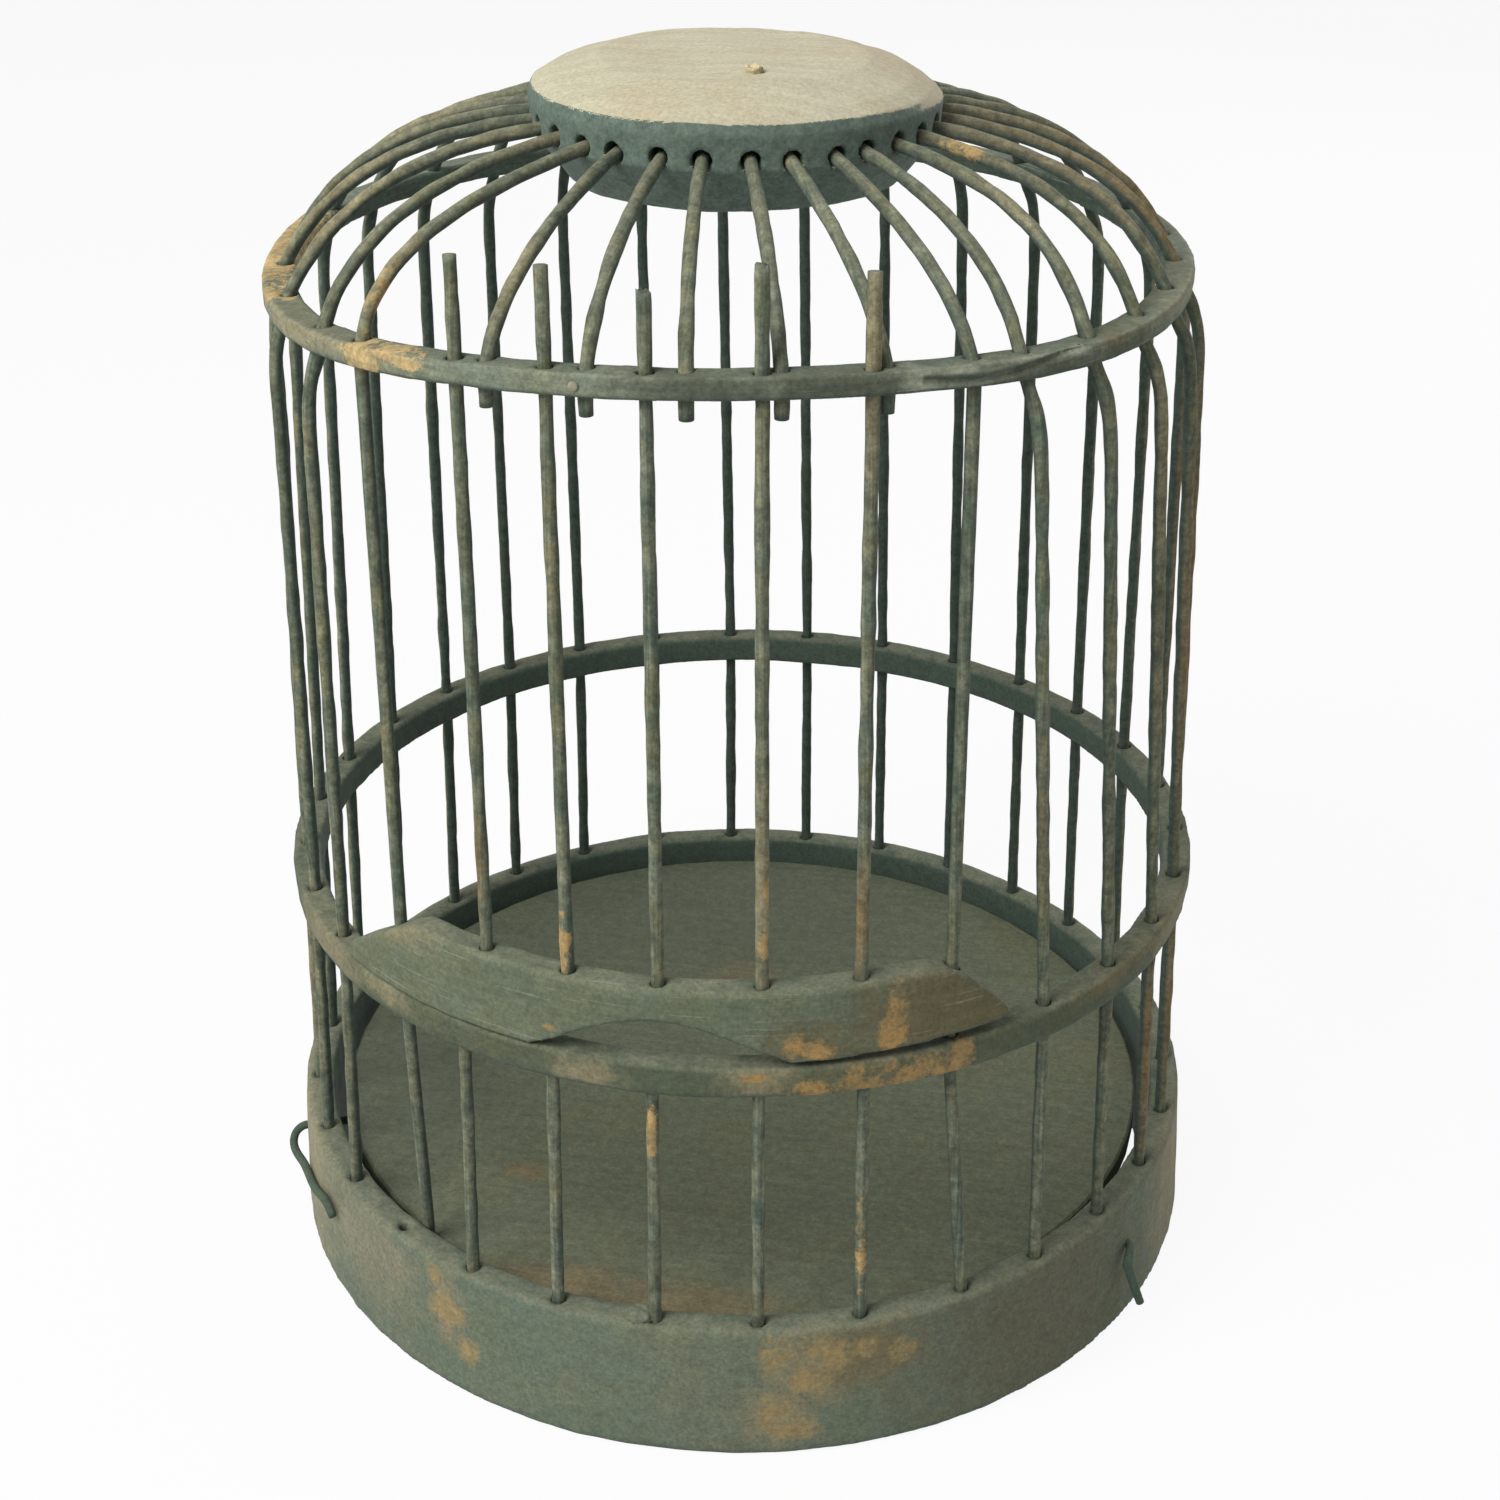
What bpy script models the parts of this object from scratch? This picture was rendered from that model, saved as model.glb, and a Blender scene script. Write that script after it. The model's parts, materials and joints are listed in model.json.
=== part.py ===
"""A domed bird cage: bamboo bars held by turned wooden hoops under a round wooden cap.

Metres, +Z up. The origin is on the cage's axis at the underside of the base ring, and the door faces -Y.
An azimuth is in degrees, from -Y towards +X. The crown, which is the cap and the top hoop, leans a little.
"""

import math

import bmesh
import bpy
from mathutils import Matrix, Vector

# Bars and fits
BAR_COUNT = 30
BAR_RADIUS = 0.002
FIT = 0.0003
SLIDE_FIT = 0.0005
OVERRUN = 0.004
DOORWAY_BARS = 2

# Base ring
BASE_CIRCLE = 0.15345
BASE_WIDTH = 0.0101
BASE_FLARE = 0.0025
BASE_HEIGHT = 0.048
BASE_EDGE = 0.0012
FOOT_DEPTH = 0.013

# Middle hoop
MID_CIRCLE = 0.1496
MID_WIDTH = 0.0096
MID_HEIGHT = 0.0104
MID_TOP = 0.1432
MID_EDGE = 0.001
LOWER_BAR_COVER = 0.002

# Top hoop and the lean of the crown
TOP_CIRCLE = 0.136
TOP_WIDTH = 0.01
TOP_HEIGHT = 0.0065
TOP_TOP = 0.3478
TOP_EDGE = 0.0007
HOOP_LEAN = 0.003
CAP_LEAN = 0.0017
LEAN_AZIMUTH = -79.8
HOOP_TILT = 0.8

# Warps of the top hoop, which is bent by hand: the azimuth and spread of each, and how far it sags and swells
LEFT_WARP = (-52.0, 28.0, 0.0045, 0.003)
RIGHT_WARP = (58.0, 26.0, 0.0036, 0.003)
REAR_WARP = (108.0, 32.0, 0.004, -0.0012)

# Cap: its profile, and the azimuth and spread of the sides that are carved lower or left higher
CAP_RADIUS = 0.0622
CAP_UNDERSIDE = 0.3668
CAP_HEIGHT = 0.0344
CAP_FOOT_RADIUS = 0.051
CAP_BAR_HEIGHT = 0.0176
CAP_BAR_DEPTH = 0.0092
LOW_SIDE = (102.0, 35.0)
HIGH_SIDE = (205.0, 60.0)
CAP_SHARES = ((0.64, 0.985), (0.9, 0.853), (0.98, 0.78), (1.0, 0.694), (0.99, 0.405))
LOW_SIDE_SHARES = ((0.64, 0.97), (0.84, 0.84), (0.94, 0.745), (1.0, 0.66), (0.99, 0.39))
HIGH_SIDE_SHARES = ((0.74, 0.98), (0.92, 0.92), (0.985, 0.865), (1.0, 0.78), (0.99, 0.41))

# Peg left in the cap
PEG_RADIUS = 0.0025
PEG_OFF_CENTRE = 0.0275
PEG_AZIMUTH = 21.5
PEG_DEPTH = 0.009
PEG_STUB = 0.0021

# Bend of the ribs over the dome: an azimuth, then how far out and down each of the curve's two handles is
DOME_HANDLE_SHARES = (
    ((-180.0, 0.54, 0.04, 0.85, 0.405), (-58.0, 0.54, 0.04, 0.85, 0.405), (-33.7, 0.43, 0.12, 0.97, 0.32))
    + ((-25.0, 0.33, 0.14, 0.89, 0.44), (41.0, 0.33, 0.14, 0.89, 0.44), (55.0, 0.57, 0.095, 0.845, 0.31))
    + ((72.0, 0.57, 0.095, 0.845, 0.33), (100.0, 0.55, 0.08, 0.85, 0.40), (180.0, 0.54, 0.04, 0.85, 0.405))
)
DOME_STEPS = 7

# Waist of the ribs under the top hoop: shares of the swell out to it and of the drop to it
WAIST_RADIUS = 0.1444
WAIST_DROP = 0.0328
FLAT_WAIST = (-85.0, 40.0, 0.0045)
SHOULDER_SHARES = ((0.22, 0.16), (0.65, 0.345), (0.90, 0.60), (1.0, 1.0))

# Places where the ribs cross the top hoop off their even spacing: the azimuth, spread and turn of each drift
RIGHT_DRIFT = (84.0, 45.0, -7.0)
LEFT_DRIFT = (-46.0, 8.0, 2.6)

# Short ribs over the doorway: where they stand in the cap, and where they cross the top hoop
SHORT_RIB_SEATS = (-25.1, -11.0, 0.5, 14.1, 24.8)
SHORT_RIB_CROSSINGS = (-18.0, -5.8, 5.4, 15.8, 27.6)
SHORT_RIB_STUB = 0.006

# Guides of the door. The foot of the left one has slipped out of its hole and hangs inside the ring
GUIDE_SEATS = {-1: -34.5, 1: 38.0}
GUIDE_AZIMUTHS = {-1: -34.0, 1: 34.6}
GUIDE_INSET = 0.0006
RIGHT_FOOT_AZIMUTH = 37.3
DOOR_LEAN_BACK = 0.0132
LOOSE_FOOT_AZIMUTH = -34.8
LOOSE_FOOT_DEPTH = 0.008

# Door
DOOR_BAR_AZIMUTHS = (-20.0, -9.6, 0.85, 12.4, 23.5)
DOOR_BAR_TOPS = (0.3723, 0.3726, 0.3686, 0.3757, 0.3722)
DOOR_BAR_SEAT = 0.0065
BOARD_THICKNESS = 0.0094
BOARD_HEIGHT = 0.025
BOARD_HORN = 0.001
BOARD_LEFT = 0.111
BOARD_RIGHT = 0.1076
BOARD_EDGE = 0.0012
NOTCH_HEIGHT = 0.0146
NOTCH_CENTRE = 0.001
NOTCH_LEFT = 0.037
NOTCH_RIGHT = 0.040
NOTCH_SHARPNESS = 1.2
WEDGE = 0.0038
HORN_SHARE = 0.7
LEFT_END_SHARES = ((-1.0, 0.21), (-0.955, 0.35), (-0.785, 0.80), (-0.69, 1.0), (-0.6, 1.2))
RIGHT_END_SHARES = ((0.66, 1.1), (0.74, 1.0), (0.81, 0.95), (0.86, 0.85), (0.985, 0.34), (1.0, 0.25))
STATION_SHARES = (
    (-1.0, -0.955, -0.87, -0.785, -0.69, -0.58, -0.46, -0.33, -0.26, -0.18, -0.10, 0.0)
    + (0.08, 0.16, 0.23, 0.30, 0.38, 0.48, 0.61, 0.74, 0.81, 0.86, 0.93, 0.985, 1.0)
)

# Floor board and the wire pins that it lies on
FLOOR_CLEARANCE = 0.0049
FLOOR_THICKNESS = 0.009
FLOOR_EDGE = 0.0008
PIN_RADIUS = 0.0013
PIN_BELOW_RIM = 0.0187
PIN_REACH = 0.0135
RIGHT_PIN_AZIMUTH = 64.4
LEFT_PIN_AZIMUTH = -70.0
BACK_PIN_AZIMUTH = 172.0
SHORT_LEG_STANDOFF = 0.0085
BACK_LEG_STANDOFF = 0.0028
SHORT_LEG_DROP = 0.018
SHORT_LEG_SHARES = ((0.12, 0.0, 0.0), (0.35, -1.3, -0.03), (0.45, -2.7, -0.12), (1.0, -1.5, -1.0))
BACK_LEG_SHARES = ((0.6, 0.0, 0.0), (1.0, -0.7, -0.04), (1.0, -1.5, -0.16), (1.0, -1.8, -1.0))
LONG_LEG_STANDOFF = 0.0056
LONG_LEG_DROP = 0.008
LONG_LEG_SHARES = (
    ((0.2, 0.0, 0.0), (0.7, 0.2, -0.16), (1.0, 0.8, -0.52), (0.94, 1.8, -0.85), (0.6, 3.2, -1.0))
    + ((0.38, 5.5, -0.79), (0.31, 9.0, -0.5), (0.31, 12.5, -0.25), (0.31, 16.0, 0.25))
    + ((0.33, 18.5, 0.62), (0.34, 20.4, 0.25))
)

# Roundness
RING_SEGMENTS = 60
BAR_BEVEL_COUNT = 2
PEG_SIDES = 16
SHARP_ANGLE = 35.0
MERGE = 0.00002

# Finishes: colour, roughness and metallic value
PAINTED_WOOD = ((0.185, 0.215, 0.155), 0.8, 0.0)
PAINTED_BAMBOO = ((0.215, 0.250, 0.175), 0.75, 0.0)
BARE_WOOD = ((0.560, 0.455, 0.320), 0.85, 0.0)
BOARD_WOOD = ((0.150, 0.160, 0.110), 0.85, 0.0)
PAINTED_WIRE = ((0.080, 0.130, 0.105), 0.5, 0.3)

BAR_STEP = 360.0 / BAR_COUNT
GUIDE_BAR = DOORWAY_BARS + 1
MID_PLANE = MID_TOP - MID_HEIGHT / 2
TOP_PLANE = TOP_TOP - TOP_HEIGHT / 2
FOOT_END = BASE_HEIGHT - FOOT_DEPTH
BOARD_FOOT = MID_TOP + FIT
FLOOR_RADIUS = BASE_CIRCLE - BASE_WIDTH / 2 - FLOOR_CLEARANCE
PIN_HEIGHT = BASE_HEIGHT - PIN_BELOW_RIM


def polar(radius, azimuth, height):
    angle = math.radians(azimuth)
    return Vector((radius * math.sin(angle), -radius * math.cos(angle), height))


def bearing(place):
    """The azimuth of a place and its distance from the axis."""
    return math.degrees(math.atan2(place.x, -place.y)), math.hypot(place.x, place.y)


def between_turns(first, second):
    """The turn from one azimuth to another, the short way round."""
    return (second - first + 180) % 360 - 180


def fading(azimuth, centre, spread):
    """A share that is whole at the centre and dies away on both sides of it."""
    return math.exp(-((between_turns(centre, azimuth) / spread) ** 2))


HOOP_CENTRE = polar(HOOP_LEAN, LEAN_AZIMUTH, 0)
CAP_CENTRE = polar(CAP_LEAN, LEAN_AZIMUTH, 0)
SLIDE = Vector((HOOP_CENTRE.x, DOOR_LEAN_BACK, TOP_PLANE - MID_PLANE))


def hoop_place(radius, azimuth, height, share=1):
    """A place about the top hoop's centre, or part of the way there, moved as that hoop tilts and warps."""
    sink = radius * math.tan(math.radians(HOOP_TILT)) * math.cos(math.radians(azimuth - LEAN_AZIMUTH))
    swell = 0
    for centre, spread, most_sag, most_swell in (LEFT_WARP, RIGHT_WARP, REAR_WARP):
        sink += most_sag * fading(azimuth, centre, spread)
        swell += most_swell * fading(azimuth, centre, spread)
    return polar(radius + swell * share, azimuth, height) + HOOP_CENTRE * share - Vector((0, 0, sink * share))


def hoop_azimuth(azimuth):
    """Where the rib that stands at this azimuth crosses the top hoop."""
    turns = [turn * fading(azimuth, centre, spread) for centre, spread, turn in (RIGHT_DRIFT, LEFT_DRIFT)]
    return azimuth + sum(turns)


def along_slide(place, height):
    """Where the line through the place, parallel to the door's slide, reaches the height."""
    return place + SLIDE * ((height - place.z) / SLIDE.z)


# Collections and finishes
def collection(name):
    made = bpy.data.collections.new(name)
    bpy.context.scene.collection.children.link(made)
    return made


def finished(thing, look):
    colour, roughness, metallic = look
    material = bpy.data.materials.new(thing.name)
    material.use_nodes = True
    shader = material.node_tree.nodes["Principled BSDF"]
    shader.inputs["Base Color"].default_value = (*colour, 1)
    shader.inputs["Roughness"].default_value = roughness
    shader.inputs["Metallic"].default_value = metallic
    material.diffuse_color = (*colour, 1)
    thing.data.materials.append(material)
    return thing


def carried_by(thing, empty):
    thing.parent = empty
    thing.matrix_parent_inverse = Matrix.Translation(-empty.location)
    return thing


def joint_empty(name, place):
    empty = bpy.data.objects.new(name, None)
    empty.location = place
    PARTS.objects.link(empty)
    return empty


# Ways of making a piece
def bars(name, routes, radius, group):
    """Round bars along their routes, as one curve object with filled ends."""
    curve = bpy.data.curves.new(name, "CURVE")
    curve.dimensions = "3D"
    curve.bevel_depth = radius
    curve.bevel_resolution = BAR_BEVEL_COUNT
    curve.use_fill_caps = True
    for route in routes:
        spline = curve.splines.new("POLY")
        spline.points.add(len(route) - 1)
        for point, place in zip(spline.points, route):
            point.co = (*place, 1)
    thing = bpy.data.objects.new(name, curve)
    group.objects.link(thing)
    return thing


def lengthened(route, extra):
    first = route[0] + (route[0] - route[1]).normalized() * extra
    last = route[-1] + (route[-1] - route[-2]).normalized() * extra
    return [first, *route[1:-1], last]


def as_cutter(thing):
    thing.hide_render = True
    thing.display_type = "WIRE"
    return thing


def hole_cutter(name, routes, clearance):
    """The room that the bars need: fat copies of them, a little longer at both ends."""
    fat = bars(name, [lengthened(route, clearance) for route in routes], BAR_RADIUS + clearance, CUTTERS)
    return solid_of(fat)


def solid_of(curve_object):
    """The curve object made a mesh, with its ends welded shut."""
    bpy.context.view_layer.update()
    graph = bpy.context.evaluated_depsgraph_get()
    mesh = bpy.data.meshes.new_from_object(curve_object.evaluated_get(graph))
    work = bmesh.new()
    work.from_mesh(mesh)
    bmesh.ops.remove_doubles(work, verts=work.verts, dist=MERGE)
    bmesh.ops.recalc_face_normals(work, faces=work.faces)
    work.to_mesh(mesh)
    work.free()
    name = curve_object.name
    solid = bpy.data.objects.new(name + "_solid", mesh)
    solid.matrix_world = curve_object.matrix_world
    CUTTERS.objects.link(solid)
    bpy.data.objects.remove(curve_object)
    return as_cutter(solid)


def turned(name, profile, group):
    """A profile turned about the upright axis. One that starts off the axis is closed into a ring."""
    count = len(profile)
    is_ring = profile[0][0] > 0
    edges = [(index, (index + 1) % count) for index in range(count if is_ring else count - 1)]
    mesh = bpy.data.meshes.new(name)
    mesh.from_pydata([(radius, 0, height) for radius, height in profile], edges, [])
    thing = bpy.data.objects.new(name, mesh)
    group.objects.link(thing)
    thing.rotation_euler.z = math.pi / RING_SEGMENTS
    screw = thing.modifiers.new("Turn", "SCREW")
    screw.steps = RING_SEGMENTS
    screw.render_steps = RING_SEGMENTS
    screw.use_merge_vertices = True
    screw.merge_threshold = MERGE
    return thing


def lofted(name, sections, is_ring):
    """A solid run from section to section, which closes on itself or has both ends filled."""
    work = bmesh.new()
    rows = [[work.verts.new(place) for place in section] for section in sections]
    following_rows = rows[1:] + rows[:1] if is_ring else rows[1:]
    for row, following_row in zip(rows, following_rows):
        for index in range(len(row)):
            following = (index + 1) % len(row)
            work.faces.new((row[index], following_row[index], following_row[following], row[following]))
    if not is_ring:
        work.faces.new(rows[0])
        work.faces.new(reversed(rows[-1]))
    bmesh.ops.remove_doubles(work, verts=work.verts, dist=MERGE)
    bmesh.ops.triangulate(work, faces=work.faces)
    bmesh.ops.recalc_face_normals(work, faces=work.faces)
    mesh = bpy.data.meshes.new(name)
    work.to_mesh(mesh)
    work.free()
    shaded_round(mesh)
    thing = bpy.data.objects.new(name, mesh)
    PARTS.objects.link(thing)
    return thing


def shaded_round(mesh):
    mesh.shade_smooth()
    mesh.set_sharp_from_angle(angle=math.radians(SHARP_ANGLE))


def cut(thing, *cutters):
    for cutter in cutters:
        boolean = thing.modifiers.new(cutter.name, "BOOLEAN")
        boolean.operation = "DIFFERENCE"
        boolean.object = cutter
    return thing


def hoop_profile(circle, width, low, high, edge, flare=0):
    """The section of a hoop about its bar circle, with its upper and lower edges eased."""
    inner = circle - width / 2
    outer = circle + width / 2
    return (
        (inner, high - edge),
        (inner + edge, high),
        (outer - edge, high),
        (outer, high - edge),
        (outer + flare, low + edge),
        (outer + flare - edge, low),
        (inner, low),
    )


def between(table, key):
    """The values that a table gives for a key, straight between the rows before and after it."""
    for before, after in zip(table, table[1:]):
        if before[0] <= key <= after[0]:
            part = (key - before[0]) / (after[0] - before[0])
            return [low + (high - low) * part for low, high in zip(before[1:], after[1:])]
    return table[0][1:] if key < table[0][0] else table[-1][1:]


# Routes of the bars
def dome_route(cap_azimuth, end):
    """A rib's bend over the dome, from its seat in the cap to its end at the top hoop."""
    end_azimuth, end_radius = bearing(end - CAP_CENTRE)
    seat = CAP_RADIUS - CAP_BAR_DEPTH
    seat_height = CAP_UNDERSIDE + CAP_BAR_HEIGHT
    start = polar(seat, cap_azimuth, seat_height) + CAP_CENTRE
    bend = between(DOME_HANDLE_SHARES, between_turns(0, cap_azimuth))
    handles = []
    for out_share, down_share in (bend[:2], bend[2:]):
        azimuth = cap_azimuth + between_turns(cap_azimuth, end_azimuth) * out_share
        radius = seat + (end_radius - seat) * out_share
        height = seat_height - (seat_height - end.z) * down_share
        handles.append(polar(radius, azimuth, height) + CAP_CENTRE)
    route = []
    for step in range(DOME_STEPS + 1):
        along = step / DOME_STEPS
        back = 1 - along
        bend = handles[0] * (3 * back**2 * along) + handles[1] * (3 * back * along**2)
        route.append(start * back**3 + bend + end * along**3)
    return route


def shoulder_route(azimuth):
    """The rib's swell under the top hoop, down to the waist of the cage."""
    drift = hoop_azimuth(azimuth) - azimuth
    centre, spread, least_swell = FLAT_WAIST
    waist = WAIST_RADIUS - least_swell * fading(azimuth, centre, spread)
    route = []
    for swell_share, drop_share in SHOULDER_SHARES:
        height = TOP_PLANE - WAIST_DROP * drop_share
        radius = TOP_CIRCLE + (waist - TOP_CIRCLE) * swell_share
        lean_share = (height - MID_PLANE) / (TOP_PLANE - MID_PLANE)
        route.append(hoop_place(radius, azimuth + drift * lean_share, height, lean_share))
    return route


def rib_route(azimuth):
    hoop_crossing = hoop_place(TOP_CIRCLE, hoop_azimuth(azimuth), TOP_PLANE)
    mid_crossing = polar(MID_CIRCLE, azimuth, MID_PLANE)
    foot = polar(BASE_CIRCLE, azimuth, FOOT_END)
    return dome_route(azimuth, hoop_crossing) + shoulder_route(azimuth) + [mid_crossing, foot]


def guide_foot(side):
    """The lower end of a guide: the right one stands in its hole, the left one hangs inside the ring."""
    if side > 0:
        return polar(BASE_CIRCLE, RIGHT_FOOT_AZIMUTH, FOOT_END)
    radius = BASE_CIRCLE - BASE_WIDTH / 2 - BAR_RADIUS - 2 * FIT
    return polar(radius, LOOSE_FOOT_AZIMUTH, BASE_HEIGHT - LOOSE_FOOT_DEPTH)


def guide_run(side):
    """The straight stretch of a guide between the hoops, parallel to the door's slide."""
    low = polar(MID_CIRCLE - GUIDE_INSET, GUIDE_AZIMUTHS[side], MID_PLANE)
    azimuth, radius = bearing(low + SLIDE - HOOP_CENTRE)
    high = along_slide(low, hoop_place(radius, azimuth, TOP_PLANE).z)
    return [high, low]


def guide_route(side):
    high, low = guide_run(side)
    return dome_route(GUIDE_SEATS[side], high) + [low, guide_foot(side)]


def lower_bar_route(azimuth):
    top = MID_TOP - LOWER_BAR_COVER
    low = polar(BASE_CIRCLE, azimuth, FOOT_END)
    high = polar(MID_CIRCLE, azimuth, MID_PLANE)
    return [low, low + (high - low) * ((top - low.z) / (high.z - low.z))]


def short_rib_route(seat_azimuth, crossing_azimuth):
    route = dome_route(seat_azimuth, hoop_place(TOP_CIRCLE, crossing_azimuth, TOP_PLANE))
    return route + [route[-1] - Vector((0, 0, TOP_HEIGHT / 2 + SHORT_RIB_STUB))]


def door_bar_route(azimuth, top):
    foot = polar(MID_CIRCLE, azimuth, BOARD_FOOT)
    return [along_slide(foot, BOARD_FOOT + BOARD_HEIGHT - DOOR_BAR_SEAT), along_slide(foot, top)]


# Wooden rings and cap
def make_base_ring(bar_holes, foot_hole, pin_holes):
    profile = hoop_profile(BASE_CIRCLE, BASE_WIDTH, 0, BASE_HEIGHT, BASE_EDGE, BASE_FLARE)
    ring = turned("base_ring", profile, PARTS)
    cut(ring, bar_holes, foot_hole, *pin_holes)
    return finished(ring, PAINTED_WOOD)


def make_mid_hoop(bar_holes):
    profile = hoop_profile(MID_CIRCLE, MID_WIDTH, MID_TOP - MID_HEIGHT, MID_TOP, MID_EDGE)
    return finished(cut(turned("mid_hoop", profile, PARTS), bar_holes), PAINTED_WOOD)


def make_top_hoop(bar_holes, door_bar_holes):
    """The hoop is lofted from section to section, because it tilts and warps."""
    profile = hoop_profile(TOP_CIRCLE, TOP_WIDTH, TOP_TOP - TOP_HEIGHT, TOP_TOP, TOP_EDGE)
    sections = []
    for segment in range(RING_SEGMENTS):
        azimuth = 360 * (segment + 1 / 2) / RING_SEGMENTS
        sections.append([hoop_place(radius, azimuth, height) for radius, height in profile])
    hoop = lofted("top_hoop", sections, True)
    return finished(cut(hoop, bar_holes, door_bar_holes), PAINTED_WOOD)


def cap_section(azimuth):
    """Half of the cap's section, from its top round the rim to its underside."""
    low = fading(azimuth, *LOW_SIDE)
    high = fading(azimuth, *HIGH_SIDE)
    section = [(0, 1)]
    for even, lower, higher in zip(CAP_SHARES, LOW_SIDE_SHARES, HIGH_SIDE_SHARES):
        rim = [mid + (down - mid) * low + (top - mid) * high for mid, down, top in zip(even, lower, higher)]
        section.append((CAP_RADIUS * rim[0], rim[1]))
    section += [(CAP_FOOT_RADIUS, 0), (0, 0)]
    return [polar(radius, azimuth, CAP_UNDERSIDE + CAP_HEIGHT * up) + CAP_CENTRE for radius, up in section]


def make_cap(bar_holes, peg_hole):
    """The cap is lofted round its axis, because it is carved by hand."""
    azimuths = [360 * (segment + 1 / 2) / RING_SEGMENTS for segment in range(RING_SEGMENTS)]
    cap = lofted("cap", [cap_section(azimuth) for azimuth in azimuths], True)
    return finished(cut(cap, bar_holes, peg_hole), BARE_WOOD)


def peg_solid(name, clearance, group):
    top = CAP_UNDERSIDE + CAP_HEIGHT
    low = top - PEG_DEPTH - clearance
    high = top + PEG_STUB + clearance
    place = polar(PEG_OFF_CENTRE, PEG_AZIMUTH, (low + high) / 2) + CAP_CENTRE
    bpy.ops.mesh.primitive_cylinder_add(
        vertices=PEG_SIDES, radius=PEG_RADIUS + clearance, depth=high - low, location=place
    )
    peg = bpy.context.active_object
    peg.name = name
    shaded_round(peg.data)
    for other in list(peg.users_collection):
        other.objects.unlink(peg)
    group.objects.link(peg)
    return peg


# Door
def board_underside(along):
    """Height of the board's lower edge over its foot: a wedge open to the right, and the finger notch."""
    from_centre = along - NOTCH_CENTRE
    reach = NOTCH_RIGHT if from_centre > 0 else NOTCH_LEFT
    notch = 0
    if abs(from_centre) < reach:
        notch = NOTCH_HEIGHT * math.cos(math.pi / 2 * from_centre / reach) ** NOTCH_SHARPNESS
    return notch + WEDGE * max(0, from_centre) / (BOARD_RIGHT - NOTCH_CENTRE)


def board_top(share):
    """Height of the board's upper edge: it rises a little to both sides, and slopes down at the ends."""
    full = BOARD_HEIGHT + BOARD_HORN
    (slope,) = between(LEFT_END_SHARES if share < 0 else RIGHT_END_SHARES, share)
    return min(BOARD_HEIGHT + BOARD_HORN * (share / HORN_SHARE) ** 2, full * slope)


def board_section(share):
    """The board's section at one place along it, as places in the cage."""
    along = share * (BOARD_RIGHT if share > 0 else BOARD_LEFT)
    azimuth = math.degrees(along / MID_CIRCLE)
    outer = MID_CIRCLE + BOARD_THICKNESS / 2
    inner = MID_CIRCLE - BOARD_THICKNESS / 2
    low = BOARD_FOOT + board_underside(along)
    high = BOARD_FOOT + board_top(share)
    corners = (
        (outer, low),
        (outer, high - BOARD_EDGE),
        (outer - BOARD_EDGE, high),
        (inner + BOARD_EDGE, high),
        (inner, high - BOARD_EDGE),
        (inner, low),
    )
    return [along_slide(polar(radius, azimuth, BOARD_FOOT), height) for radius, height in corners]


def make_door_board(slide_empty, door_bar_holes, guide_holes):
    """The board is lofted from section to section, because its height changes all along it."""
    board = lofted("door_board", [board_section(share) for share in STATION_SHARES], False)
    carried_by(cut(board, door_bar_holes, guide_holes), slide_empty)
    return finished(board, PAINTED_WOOD)


# Floor board and its pins
def make_floor_board(floor_empty):
    low = PIN_HEIGHT + PIN_RADIUS + FIT
    high = low + FLOOR_THICKNESS
    profile = (
        (0, high),
        (FLOOR_RADIUS - FLOOR_EDGE, high),
        (FLOOR_RADIUS, high - FLOOR_EDGE),
        (FLOOR_RADIUS, low),
        (0, low),
    )
    board = turned("floor_board", profile, PARTS)
    return finished(carried_by(board, floor_empty), BOARD_WOOD)


def ring_face(height):
    return BASE_CIRCLE + BASE_WIDTH / 2 + BASE_FLARE * (1 - height / BASE_HEIGHT)


def pin_shank(azimuth, end_radius):
    return [polar(FLOOR_RADIUS - PIN_REACH, azimuth, PIN_HEIGHT), polar(end_radius, azimuth, PIN_HEIGHT)]


def make_pin(name, azimuth, leg_shares, standoff, drop):
    """A bent wire: its shank runs through the ring under the floor board, and its leg lies outside."""
    face = ring_face(PIN_HEIGHT)
    route = pin_shank(azimuth, face)
    for out_share, turn, drop_share in leg_shares:
        route.append(polar(face + standoff * out_share, azimuth + turn, PIN_HEIGHT + drop * drop_share))
    pin = bars(name, [route], PIN_RADIUS, PARTS)
    empty = joint_empty(name + "_slide", polar(face, azimuth, PIN_HEIGHT))
    return finished(carried_by(pin, empty), PAINTED_WIRE)


def pin_hole(name, azimuth):
    route = lengthened(pin_shank(azimuth, ring_face(PIN_HEIGHT)), OVERRUN)
    return solid_of(bars(name + "_hole", [route], PIN_RADIUS + FIT, CUTTERS))


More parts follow.
